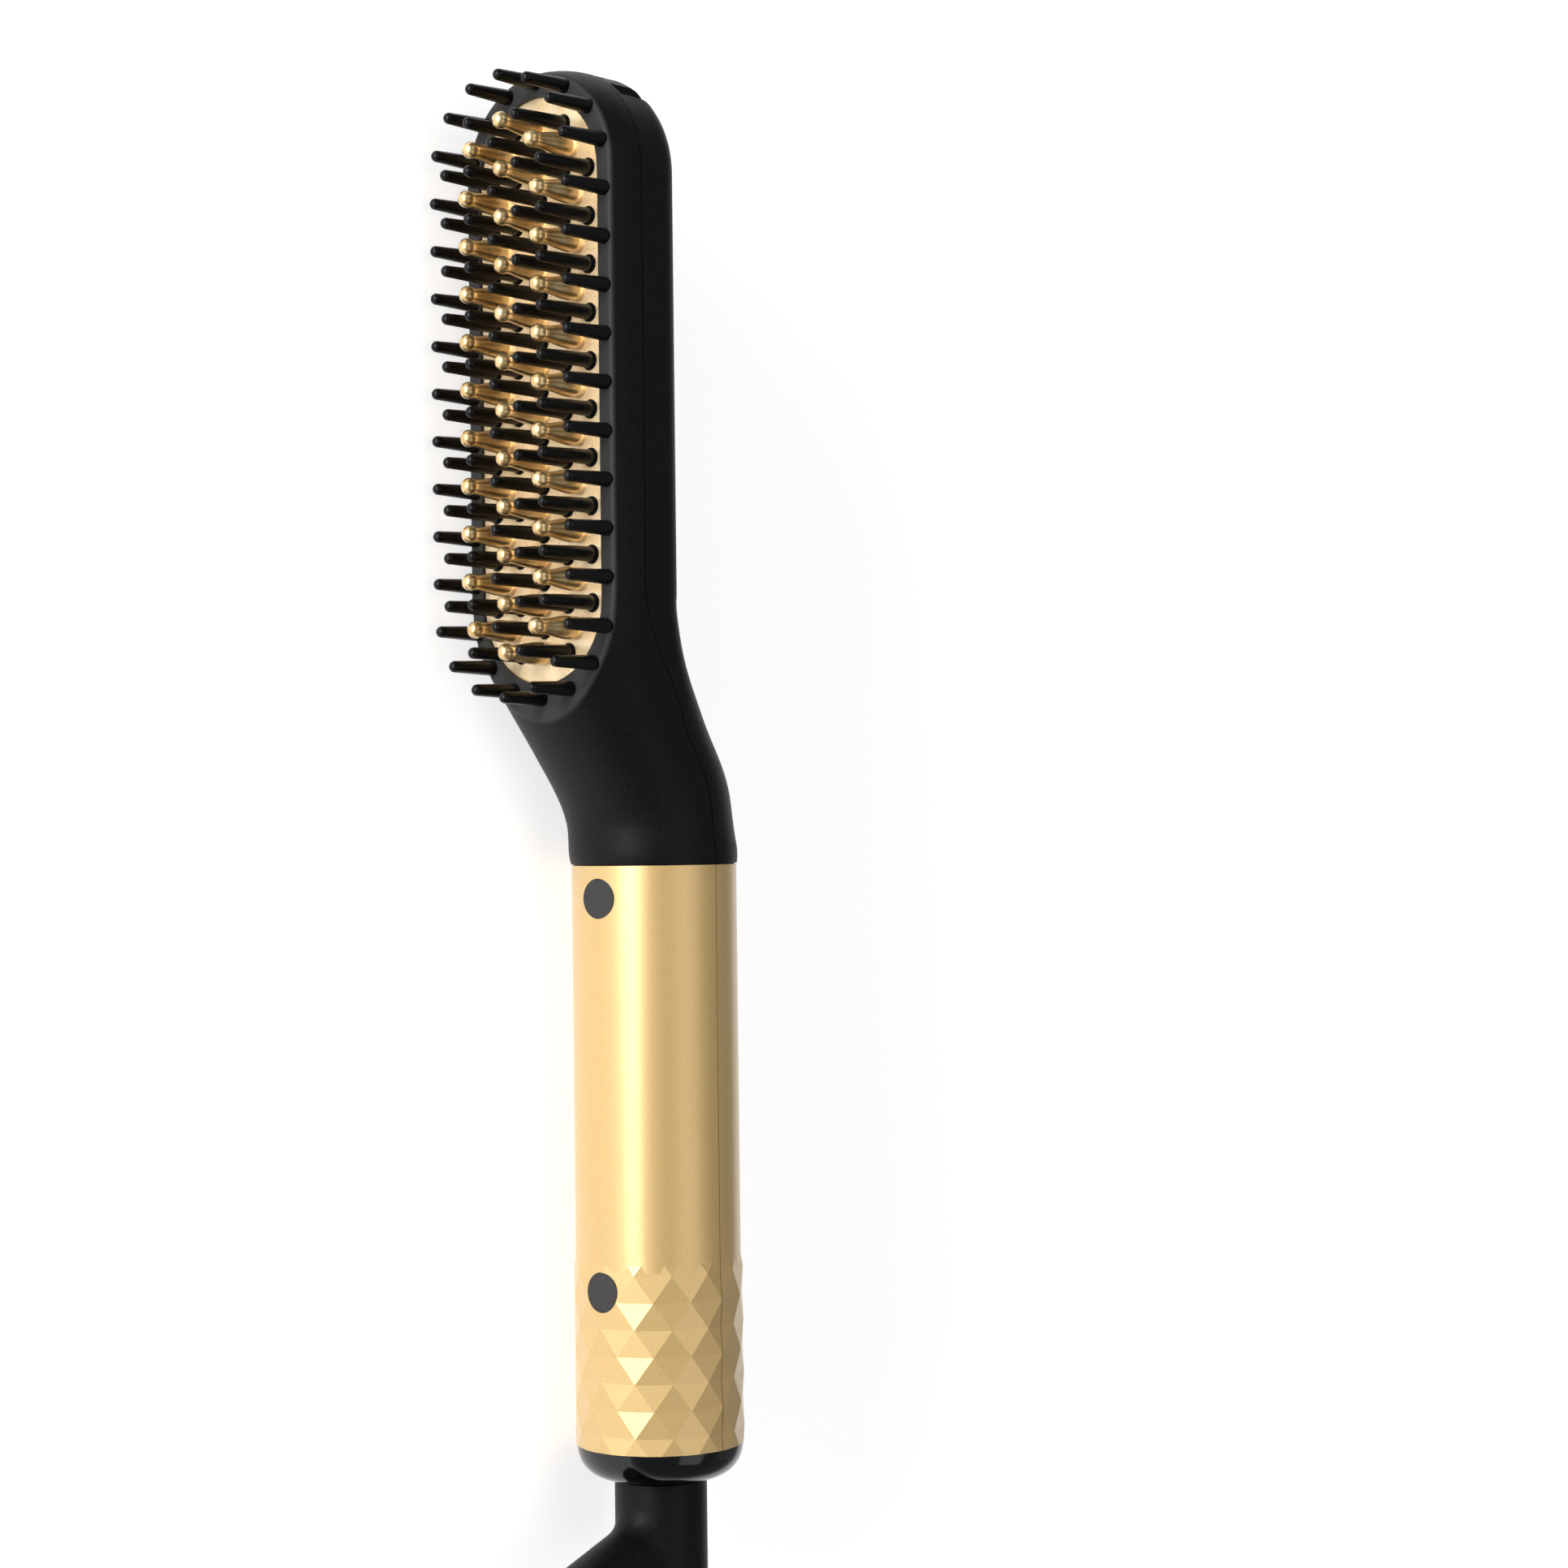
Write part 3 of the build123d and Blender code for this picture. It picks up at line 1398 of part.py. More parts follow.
def make_slip_contacts():
    """The ring and the pin on the swivel, and the two brushes and their carrier in the handle."""
    ring_radius = SWIVEL_NECK_RADIUS + SLIP_RING_RISE
    with BuildPart() as slip_ring:
        add(rod(slip_ring_top - SLIP_RING_LENGTH, slip_ring_top, ring_radius))
        add(
            rod(slip_ring_top - SLIP_RING_LENGTH, slip_ring_top, SWIVEL_NECK_RADIUS),
            mode=Mode.SUBTRACT,
        )
    finish(slip_ring, "slip_ring")
    with BuildPart() as slip_pin:
        low = neck_top - SLIP_PIN_LENGTH / 2
        add(rod(low, low + SLIP_PIN_LENGTH, SLIP_PIN_RADIUS))
    finish(slip_pin, "slip_pin")
    with BuildPart() as contact_carrier:
        add(rod(carrier_low, carrier_top, spigot_radius))
        add(rod(carrier_low, carrier_top, SLIP_PIN_RADIUS), mode=Mode.SUBTRACT)
    finish(contact_carrier, "contact_carrier")
    with BuildPart() as pin_brush:
        add(
            block(
                (carrier_low - BRUSH_THICKNESS, carrier_low),
                (-sleeve_bore / 2, BRUSH_HALF_WIDTH),
                (-BRUSH_HALF_WIDTH, BRUSH_HALF_WIDTH),
            )
        )
    finish(pin_brush, "pin_brush")
    with BuildPart() as ring_brush:
        inner = ring_radius + CONTACT_GAP
        add(
            block(
                (slip_ring_top - SLIP_RING_LENGTH, carrier_low),
                (inner, inner + BRUSH_THICKNESS),
                (-BRUSH_HALF_WIDTH, BRUSH_HALF_WIDTH),
            )
        )
    finish(ring_brush, "ring_brush")


# ---------------------------------------------------------------- build

make_head_front_shell()
make_rim_pins()
make_head_back_shell()
make_heating_plate()
make_plate_teeth()
make_bristle_tray()
make_tray_pins()
make_heat_spreader()
make_ptc_heater()
make_heater_film()
make_heat_shield()
for strap_name, strap_end in (("strap_tip", 1), ("strap_neck", -1)):
    strap_along = head_middle + strap_end * STRAP_OFFSET
    make_strap(strap_name, strap_along)
    for screw_side, side_name in ((1, "upper"), (-1, "lower")):
        make_strap_screw(
            f"{strap_name}_screw_{side_name}", strap_along, screw_side * head_boss_offset
        )
make_thermal_fuse()
make_thermistor()

make_handle_front_shell()
make_handle_back_shell()
for screw_name, screw_along in zip(("neck", "tail"), screw_places):
    make_screw_plug(f"screw_plug_{screw_name}", screw_along)
    make_handle_screw(f"handle_screw_{screw_name}", screw_along)

make_switch_button()
make_slider_contact()
make_slide_switch()
make_circuit_board()
make_led()
make_indicator_lens()
make_board_components()
make_leads()

make_end_cap()
make_swivel_elbow()
make_strain_relief()
make_retaining_clip()
make_slip_contacts()
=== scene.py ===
import math

import bmesh
import bpy
from mathutils import Euler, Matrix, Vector


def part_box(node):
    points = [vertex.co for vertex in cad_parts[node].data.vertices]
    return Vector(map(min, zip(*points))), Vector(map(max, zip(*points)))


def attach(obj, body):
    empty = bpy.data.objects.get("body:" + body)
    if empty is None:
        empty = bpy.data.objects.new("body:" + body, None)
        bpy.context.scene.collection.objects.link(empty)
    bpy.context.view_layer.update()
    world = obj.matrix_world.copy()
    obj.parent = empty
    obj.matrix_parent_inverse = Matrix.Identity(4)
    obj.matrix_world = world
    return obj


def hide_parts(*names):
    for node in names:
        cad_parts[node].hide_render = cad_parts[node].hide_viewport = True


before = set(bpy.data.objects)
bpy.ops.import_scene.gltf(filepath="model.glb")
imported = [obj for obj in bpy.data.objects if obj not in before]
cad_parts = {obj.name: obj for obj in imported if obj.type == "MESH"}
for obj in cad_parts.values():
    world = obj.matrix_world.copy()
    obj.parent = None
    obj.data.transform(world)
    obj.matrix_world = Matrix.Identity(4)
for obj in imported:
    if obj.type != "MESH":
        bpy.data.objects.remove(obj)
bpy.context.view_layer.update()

bl_info = {
    "name": "Hot comb",
    "version": (1, 0, 0),
    "blender": (4, 5, 0),
    "location": "View3D > Sidebar > Hot comb",
    "description": "A heated beard-straightening brush with a slide switch and a swivelling "
                   "cord outlet",
    "category": "Add Mesh",
}

MM = 0.001

# The brush lies on its side: its tip points to -X, its bristles to -Y, and Z goes across it.
CAP_LOW, CAP_HIGH = (Vector(corner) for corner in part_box("end_cap"))
PLATE_LOW, PLATE_HIGH = (Vector(corner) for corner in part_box("heating_plate"))
# where the neck meets the handle, on the handle's axis and this far from the end cap's end
CAP_END = 107.2 * MM
JOINT = Vector((
    CAP_HIGH.x - CAP_END, (CAP_LOW.y + CAP_HIGH.y) / 2, (CAP_LOW.z + CAP_HIGH.z) / 2,
))
# the middle of the plate's face
PLATE_MIDDLE = Vector((
    (PLATE_LOW.x + PLATE_HIGH.x) / 2, PLATE_LOW.y, (PLATE_LOW.z + PLATE_HIGH.z) / 2,
))
# the rim's face stands this far out of the plate's
RIM_LIFT = 0.8 * MM
# from the plate's middle to the centres of the rim's round ends
RIM_END_CENTRE = 36.9 * MM
# the rim's paler grey is painted sheen, standing in for the lamps' reflection on its face: it
# begins at the first of these depths behind its face, full at the second
RIM_SHEEN_START, RIM_SHEEN_END = 0.7 * MM, 0.15 * MM


def linear(colour):
    """An sRGB hex colour as linear red, green, blue and alpha."""
    parts = [int(colour[start:start + 2], 16) / 255 for start in (1, 3, 5)]
    light = (p / 12.92 if p <= 0.04045 else ((p + 0.055) / 1.055) ** 2.4 for p in parts)
    return (*light, 1.0)


def add_node(tree, kind, inputs=None, **settings):
    """A new node with its settings; each input is a value, an output, or a node's first output."""
    node = tree.nodes.new(kind)
    for name, value in settings.items():
        setattr(node, name, value)
    for name, value in (inputs or {}).items():
        if isinstance(value, bpy.types.Node):
            value = value.outputs[0]
        if isinstance(value, bpy.types.NodeSocket):
            tree.links.new(value, node.inputs[name])
        else:
            node.inputs[name].default_value = value
    return node


# ---------------------------------------------------------------- finishes


def new_finish(name):
    """An empty material and its tree."""
    material = bpy.data.materials.new(name)
    material.use_nodes = True
    material.node_tree.nodes.clear()
    return material, material.node_tree


def grain(tree, size_mm, detail=2.0):
    """Noise on the piece's own coordinates, with lumps about size_mm across."""
    return add_node(tree, "ShaderNodeTexNoise", {
        "Vector": add_node(tree, "ShaderNodeTexCoord").outputs["Object"],
        "Scale": 1 / (2 * size_mm * MM),
        "Detail": detail,
    }).outputs["Fac"]


def two_tone(tree, pattern, low, high, first, second, most=1.0):
    """The first hex colour where the pattern is low, mixed with up to most of the second above."""
    share = add_node(tree, "ShaderNodeMapRange", {
        "Value": pattern, "From Min": low, "From Max": high, "To Max": most,
    })
    return add_node(tree, "ShaderNodeMix", {
        0: share, 6: linear(first), 7: linear(second),
    }, data_type="RGBA").outputs[2]


def finish_material(material, tree, inputs, relief=None, depth_mm=0.0):
    """Gives the material its surface, raised and sunk by depth_mm where a relief is given."""
    surface = add_node(tree, "ShaderNodeBsdfPrincipled", inputs)
    if relief is not None:
        bump = add_node(tree, "ShaderNodeBump", {
            "Height": relief, "Distance": depth_mm * MM, "Strength": 1.0,
        })
        tree.links.new(bump.outputs[0], surface.inputs["Normal"])
    add_node(tree, "ShaderNodeOutputMaterial", {"Surface": surface})
    return material


def moulded_plastic(name, colour, roughness, texture_mm, depth_mm, pale=None, shine=0.5):
    """Moulded plastic: a soft sheen, broken by the texture that the mould was given."""
    material, tree = new_finish(name)
    lumps = grain(tree, texture_mm)
    return finish_material(material, tree, {
        "Base Color": two_tone(tree, lumps, 0.5, 0.7, colour, pale or colour),
        "Roughness": add_node(tree, "ShaderNodeMapRange", {
            "Value": lumps, "From Min": 0.35, "From Max": 0.65,
            "To Min": roughness * 0.85, "To Max": roughness * 1.15,
        }),
        "IOR": 1.5,
        "Specular IOR Level": shine,
    }, lumps, depth_mm)


def rim_painted_sheen(material, face, colour):
    """Blends a paler grey into the finish over the rim's face and its rounding: painted sheen, in
    place of the lamps' reflection there.
    """
    tree = material.node_tree
    surface = next(node for node in tree.nodes if node.type == "BSDF_PRINCIPLED")
    below = surface.inputs["Base Color"].links[0].from_socket
    place = add_node(tree, "ShaderNodeSeparateXYZ", {
        0: add_node(tree, "ShaderNodeTexCoord").outputs["Object"],
    })
    share = add_node(tree, "ShaderNodeMapRange", {
        "Value": place.outputs[1],
        "From Min": face + RIM_SHEEN_START, "From Max": face + RIM_SHEEN_END,
    })
    mix = add_node(tree, "ShaderNodeMix", {0: share, 6: below, 7: linear(colour)}, data_type="RGBA")
    tree.links.new(mix.outputs[2], surface.inputs["Base Color"])
    return material


def bare_metal(name, colour, worn, roughness, grain_mm, depth_mm):
    """Metal with the fine grain that its making leaves, which breaks up the reflections."""
    material, tree = new_finish(name)
    lumps = grain(tree, grain_mm, 3.0)
    patches = grain(tree, grain_mm * 12)
    return finish_material(material, tree, {
        "Base Color": two_tone(tree, patches, 0.4, 0.65, colour, worn),
        "Metallic": 1.0,
        "Roughness": add_node(tree, "ShaderNodeMapRange", {
            "Value": lumps, "From Min": 0.3, "From Max": 0.7,
            "To Min": roughness * 0.8, "To Max": roughness * 1.2,
        }),
    }, lumps, depth_mm)


def anodised(name, colour, pale, metallic, roughness, gleam):
    """Anodised aluminium: a satin metal under a clear oxide, which adds its own white gleam."""
    material, tree = new_finish(name)
    clouds = grain(tree, 1.5)
    # the satin's pits are about 0.02 mm, too fine to show: only their shine varies, more coarsely
    pits = grain(tree, 0.25, 3.0)
    return finish_material(material, tree, {
        "Base Color": two_tone(tree, clouds, 0.35, 0.65, colour, pale),
        "Metallic": metallic,
        "Roughness": add_node(tree, "ShaderNodeMapRange", {
            "Value": pits, "From Min": 0.3, "From Max": 0.7,
            "To Min": roughness * 0.88, "To Max": roughness * 1.12,
        }),
        "Coat Weight": gleam,
        "Coat Roughness": 0.15,
    })


def metallic_lacquer(name, colour, flake_colour):
    """Champagne lacquer sprayed on ABS: silvery flakes in a gold binder, under a satin coat."""
    material, tree = new_finish(name)
    # real flakes are about 0.03 mm, too fine to show, so these are coarser, and differ little
    flake_size = 0.12 * MM
    flakes = add_node(tree, "ShaderNodeTexVoronoi", {
        "Vector": add_node(tree, "ShaderNodeTexCoord").outputs["Object"], "Scale": 1 / flake_size,
    })
    tint = add_node(tree, "ShaderNodeSeparateColor", {0: flakes.outputs["Color"]}).outputs
    silvery = add_node(tree, "ShaderNodeMapRange", {
        "Value": tint[0], "To Min": 0.22, "To Max": 0.38,
    })
    return finish_material(material, tree, {
        "Base Color": add_node(tree, "ShaderNodeMix", {
            0: silvery, 6: linear(colour), 7: linear(flake_colour),
        }, data_type="RGBA").outputs[2],
        "Metallic": add_node(tree, "ShaderNodeMapRange", {
            "Value": silvery, "To Min": 0.2, "To Max": 1.0,
        }),
        "Roughness": 0.4,
        "IOR": 1.5,
        "Specular IOR Level": 0.6,
        "Coat Weight": 0.8,
        "Coat Roughness": 0.34,
    }, tint[1], 0.0012)


def clear_plastic(name, colour, roughness, clearness):
    """Cast clear or smoked plastic: polished, and what is behind it shows through."""
    material, tree = new_finish(name)
    return finish_material(material, tree, {
        "Base Color": two_tone(tree, grain(tree, 0.8), 0.3, 0.7, colour, "#ffffff", 0.2),
        "Roughness": roughness,
        "IOR": 1.49,
        "Transmission Weight": clearness,
    })


def solder_mask_board(name):
    """Green solder mask on glass cloth: shiny, with paler copper tracks and the weave showing."""
    material, tree = new_finish(name)
    place = add_node(tree, "ShaderNodeTexCoord").outputs["Object"]
    # the tracks run where two of the points that lie this far apart are about equally near
    track_spacing = 3.2 * MM
    second, nearest = (add_node(tree, "ShaderNodeTexVoronoi", {
        "Vector": place, "Scale": 1 / track_spacing, "Randomness": 0.85,
    }, feature=feature, distance="MANHATTAN").outputs["Distance"] for feature in ("F2", "F1"))
    apart = add_node(tree, "ShaderNodeMath", {0: second, 1: nearest}, operation="SUBTRACT")
    # the cloth's threads are about 0.5 mm apart, and are drawn 4.4 mm apart, so that they show:
    # the wave has 20 / (2 pi) of them in this length
    weave_length = 13.86 * MM
    weave = add_node(tree, "ShaderNodeTexWave", {
        "Vector": place, "Scale": 1 / weave_length, "Distortion": 0.6,
    })
    return finish_material(material, tree, {
        "Base Color": two_tone(tree, apart, 0.08, 0.12, "#3f8a3a", "#0f4a26"),
        "Roughness": 0.25,
        "IOR": 1.5,
    }, weave.outputs["Fac"], 0.02)


def mica_sheet(name):
    """Pressed mica: grey-brown splittings laid over each other, with a pearly gloss."""
    material, tree = new_finish(name)
    splitting_size = 2.5 * MM
    flakes = add_node(tree, "ShaderNodeTexVoronoi", {
        "Vector": add_node(tree, "ShaderNodeTexCoord").outputs["Object"],
        "Scale": 1 / splitting_size,
    })
    tint = add_node(tree, "ShaderNodeSeparateColor", {0: flakes.outputs["Color"]}).outputs
    return finish_material(material, tree, {
        "Base Color": two_tone(tree, tint[0], 0.0, 1.0, "#8d8471", "#c2b9a2"),
        "Roughness": add_node(tree, "ShaderNodeMapRange", {
            "Value": tint[1], "To Min": 0.2, "To Max": 0.45,
        }),
        "IOR": 1.56,
    }, tint[2], 0.02)


def polyimide_film(name):
    """Amber film wound round the heater: glossy, a little see-through, with shallow wrinkles."""
    material, tree = new_finish(name)
    wrinkles = grain(tree, 2.0, 4.0)
    return finish_material(material, tree, {
        "Base Color": two_tone(tree, wrinkles, 0.35, 0.65, "#a9651a", "#cf8d34"),
        "Roughness": 0.18,
        "IOR": 1.7,
        "Transmission Weight": 0.25,
    }, wrinkles, 0.15)


def banded_resistor(name, node, rings):
    """Beige lacquer on a resistor's body, with painted rings along it."""
    material, tree = new_finish(name)
    beige, ring_width = linear("#d6c39c"), 0.07
    low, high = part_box(node)
    place = add_node(tree, "ShaderNodeSeparateXYZ", {
        0: add_node(tree, "ShaderNodeTexCoord").outputs["Object"],
    })
    along = add_node(tree, "ShaderNodeMapRange", {
        "Value": place.outputs[0], "From Min": low[0], "From Max": high[0],
    })
    painted = add_node(tree, "ShaderNodeValToRGB", {0: along})
    ramp = painted.color_ramp
    ramp.interpolation = "CONSTANT"
    ramp.elements[0].color = beige
    ramp.elements[1].position = 0.999
    ramp.elements[1].color = beige
    for start, colour in rings:
        ramp.elements.new(start).color = linear(colour)
        ramp.elements.new(start + ring_width).color = beige
    return finish_material(material, tree, {
        "Base Color": painted, "Roughness": 0.35, "IOR": 1.5,
    })


# ---------------------------------------------------------------- geometry trees

BRISTLE_SIZES = (
    "Foot Radius", "Neck Radius", "Ball Radius", "Length", "Root", "Shoulder", "Swell",
)
# the net that is bent into a bristle: its sides, the row at its neck and the row at its tip;
# row 0 closes the foot
NET_SIDES, NET_NECK, NET_TIP = 16, 9, 16
# above 1, the rows lie closer together near the neck
NECK_CROWDING = 1.4
# a shouldered stem draws in between these, from 1 at the foot to 0 at the neck
SHOULDER_LOW, SHOULDER_HIGH = 0.063, 0.734
# how suddenly the drawn-in neck widens to meet the ball
NECK_FLARE = 20.0
# points of the net this close are one
WELD = 0.002 * MM


def new_tree(name, inputs):
    """A geometry tree with named inputs, listed under their kinds of socket."""
    tree = bpy.data.node_groups.new(name, "GeometryNodeTree")
    for kind, labels in inputs.items():
        for label in labels:
            tree.interface.new_socket(name=label, in_out="INPUT", socket_type=kind)
    tree.interface.new_socket(name="Geometry", in_out="OUTPUT", socket_type="NodeSocketGeometry")
    return tree


def made_by(tree, name, values, body, context):
    """Runs a tree once with the given inputs and keeps its result as a plain mesh on a body."""
    maker = bpy.data.objects.new(name + "_maker", bpy.data.meshes.new(name + "_maker"))
    context.scene.collection.objects.link(maker)
    modifier = maker.modifiers.new("tree", "NODES")
    modifier.node_group = tree
    for item in tree.interface.items_tree:
        if item.in_out == "INPUT":
            modifier[item.identifier] = values[item.name]
    context.view_layer.update()
    evaluated = maker.evaluated_get(context.evaluated_depsgraph_get())
    mesh = bpy.data.meshes.new_from_object(evaluated)
    mesh.name = name
    maker.modifiers.remove(modifier)
    bpy.data.objects.remove(maker)
    piece = bpy.data.objects.new(name, mesh)
    context.scene.collection.objects.link(piece)
    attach(piece, body)
    return piece


def turned_bristle_tree():
    """One bristle turned about its middle line: a foot, a flared stem and a ball end."""
    tree = new_tree("turned_bristle", {"NodeSocketFloat": BRISTLE_SIZES})
    given = add_node(tree, "NodeGroupInput").outputs
    net = add_node(tree, "GeometryNodeMeshGrid", {
        "Size X": 1.0, "Size Y": 1.0, "Vertices X": NET_SIDES + 1, "Vertices Y": NET_TIP + 1,
    })
    place = add_node(tree, "ShaderNodeSeparateXYZ", {
        0: add_node(tree, "GeometryNodeInputPosition"),
    }).outputs
    turn = add_node(tree, "ShaderNodeMath", {0: place[0], 1: 2 * math.pi}, operation="MULTIPLY")
    row = add_node(tree, "ShaderNodeMath", {
        0: place[1], 1: float(NET_TIP), 2: NET_TIP / 2,
    }, operation="MULTIPLY_ADD")
    climb = add_node(tree, "ShaderNodeMapRange", {
        "Value": row, "From Min": 1.0, "From Max": float(NET_NECK),
    })

    # the ball, by the angle from its middle: it starts at the neck and ends at the tip
    slender = add_node(tree, "ShaderNodeMath", {
        0: given["Neck Radius"], 1: given["Ball Radius"],
    }, operation="DIVIDE")
    waist = add_node(tree, "ShaderNodeMath", {0: slender}, operation="ARCCOSINE")
    angle = add_node(tree, "ShaderNodeMapRange", {
        "Value": row, "From Min": float(NET_NECK), "From Max": float(NET_TIP),
        "To Min": add_node(tree, "ShaderNodeMath", {0: waist, 1: -1.0}, operation="MULTIPLY"),
        "To Max": math.pi / 2,
    })
    on_ball, up_ball = (add_node(tree, "ShaderNodeMath", {
        0: angle,
    }, operation=wave) for wave in ("COSINE", "SINE"))
    on_ball = add_node(tree, "ShaderNodeMath", {
        0: on_ball, 1: given["Ball Radius"],
    }, operation="MULTIPLY")

    # what is left of the climb: 1 at the foot and 0 at the neck
    left = add_node(tree, "ShaderNodeMath", {0: 1.0, 1: climb}, operation="SUBTRACT")
    left = add_node(tree, "ShaderNodeMath", {0: left, 1: NECK_CROWDING}, operation="POWER")
    # a straight taper, or a shoulder that stays stout for the first third and then draws in
    shoulder = add_node(tree, "ShaderNodeMapRange", {
        "Value": left, "From Min": SHOULDER_LOW, "From Max": SHOULDER_HIGH,
    }, interpolation_type="SMOOTHSTEP")
    taper = add_node(tree, "ShaderNodeMix", {0: given["Shoulder"], 2: left, 3: shoulder})
    spread = add_node(tree, "ShaderNodeMath", {
        0: given["Foot Radius"], 1: given["Neck Radius"],
    }, operation="SUBTRACT")
    spread = add_node(tree, "ShaderNodeMath", {0: spread, 1: given["Swell"]}, operation="ADD")
    radius = add_node(tree, "ShaderNodeMath", {
        0: taper, 1: spread, 2: on_ball,
    }, operation="MULTIPLY_ADD")
    # the neck is drawn in by the swell, and widens to meet the ball
    risen = add_node(tree, "ShaderNodeMath", {0: 1.0, 1: left}, operation="SUBTRACT")
    risen = add_node(tree, "ShaderNodeMath", {0: risen, 1: NECK_FLARE}, operation="POWER")
    drawn = add_node(tree, "ShaderNodeMath", {0: risen, 1: -1.0}, operation="ADD")
    radius = add_node(tree, "ShaderNodeMath", {
        0: drawn, 1: given["Swell"], 2: radius,
    }, operation="MULTIPLY_ADD")
    past_foot = add_node(tree, "ShaderNodeMath", {0: row, 1: 0.5}, operation="GREATER_THAN")
    radius = add_node(tree, "ShaderNodeMath", {0: radius, 1: past_foot}, operation="MULTIPLY")

    # the height of the ball's rows, and of the stem's, which go down to the root
    centre = add_node(tree, "ShaderNodeMath", {
        0: given["Length"], 1: given["Ball Radius"],
    }, operation="SUBTRACT")
    height = add_node(tree, "ShaderNodeMath", {
        0: up_ball, 1: given["Ball Radius"], 2: centre,
    }, operation="MULTIPLY_ADD")
    full = add_node(tree, "ShaderNodeMath", {0: height, 1: given["Root"]}, operation="ADD")
    down = add_node(tree, "ShaderNodeMath", {0: left, 1: full}, operation="MULTIPLY")
    height = add_node(tree, "ShaderNodeMath", {0: height, 1: down}, operation="SUBTRACT")
    out = add_node(tree, "ShaderNodeMath", {0: height, 1: -1.0}, operation="MULTIPLY")

    side = [add_node(tree, "ShaderNodeMath", {
        0: add_node(tree, "ShaderNodeMath", {0: turn}, operation=wave), 1: radius,
    }, operation="MULTIPLY") for wave in ("SINE", "COSINE")]
    bent = add_node(tree, "GeometryNodeSetPosition", {
        "Geometry": net.outputs["Mesh"],
        "Position": add_node(tree, "ShaderNodeCombineXYZ", {0: side[0], 1: out, 2: side[1]}),
    })
    joined = add_node(tree, "GeometryNodeMergeByDistance", {"Geometry": bent, "Distance": WELD})
    outward = add_node(tree, "GeometryNodeFlipFaces", {"Mesh": joined})
    smooth = add_node(tree, "GeometryNodeSetShadeSmooth", {"Geometry": outward})
    add_node(tree, "NodeGroupOutput", {"Geometry": smooth})
    return tree


def field_tree(name, sizes=(), counts=()):
    """A tree for a field of bristles, with what every field is given and its own inputs."""
    tree = new_tree(name, {
        "NodeSocketInt": ("Rows",) + counts,
        "NodeSocketFloat": ("Row Pitch", "Column Pitch") + BRISTLE_SIZES + sizes,
        "NodeSocketMaterial": ("Material",),
    })
    return tree, add_node(tree, "NodeGroupInput").outputs


def bristle_column(tree, given, count_step=0, across=0):
    """A column of Rows + count_step points along the head, across pitches off its middle."""
    count = add_node(tree, "ShaderNodeMath", {
        0: given["Rows"], 1: float(count_step),
    }, operation="ADD")
    gaps = add_node(tree, "ShaderNodeMath", {0: count, 1: -1.0}, operation="ADD")
    reach = add_node(tree, "ShaderNodeMath", {0: gaps, 1: given["Row Pitch"]}, operation="MULTIPLY")
    start = add_node(tree, "ShaderNodeMath", {0: reach, 1: -0.5}, operation="MULTIPLY")
    off = add_node(tree, "ShaderNodeMath", {
        0: given["Column Pitch"], 1: float(across),
    }, operation="MULTIPLY")
    return add_node(tree, "GeometryNodeMeshLine", {
        "Count": count,
        "Start Location": add_node(tree, "ShaderNodeCombineXYZ", {0: start, 2: off}),
        "Offset": add_node(tree, "ShaderNodeCombineXYZ", {0: given["Row Pitch"]}),
    }, mode="OFFSET")


def finish_tree(tree, given, points):
    """Stands a bristle on every point, moves the field to the plate and gives it its finish."""
    bristle = add_node(
        tree, "GeometryNodeGroup", node_tree=bpy.data.node_groups["turned_bristle"])
    for label in BRISTLE_SIZES:
        tree.links.new(given[label], bristle.inputs[label])
    stood = add_node(tree, "GeometryNodeInstanceOnPoints", {"Points": points, "Instance": bristle})
    moved = add_node(tree, "GeometryNodeTransform", {
        "Geometry": stood, "Translation": PLATE_MIDDLE,
    })
    real = add_node(tree, "GeometryNodeRealizeInstances", {"Geometry": moved})
    painted = add_node(tree, "GeometryNodeSetMaterial", {
        "Geometry": real, "Material": given["Material"],
    })
    add_node(tree, "NodeGroupOutput", {"Geometry": painted})
    return tree


def plate_bristle_tree():
    """Five columns of bristles through the holes of the plate."""
    tree, given = field_tree("plate_bristles")
    points = add_node(tree, "GeometryNodeJoinGeometry")
    for count_step, across in ((0, 0), (1, 2), (1, -2), (-1, 4), (-1, -4)):
        column = bristle_column(tree, given, count_step, across)
        tree.links.new(column.outputs[0], points.inputs[0])
    return finish_tree(tree, given, points)


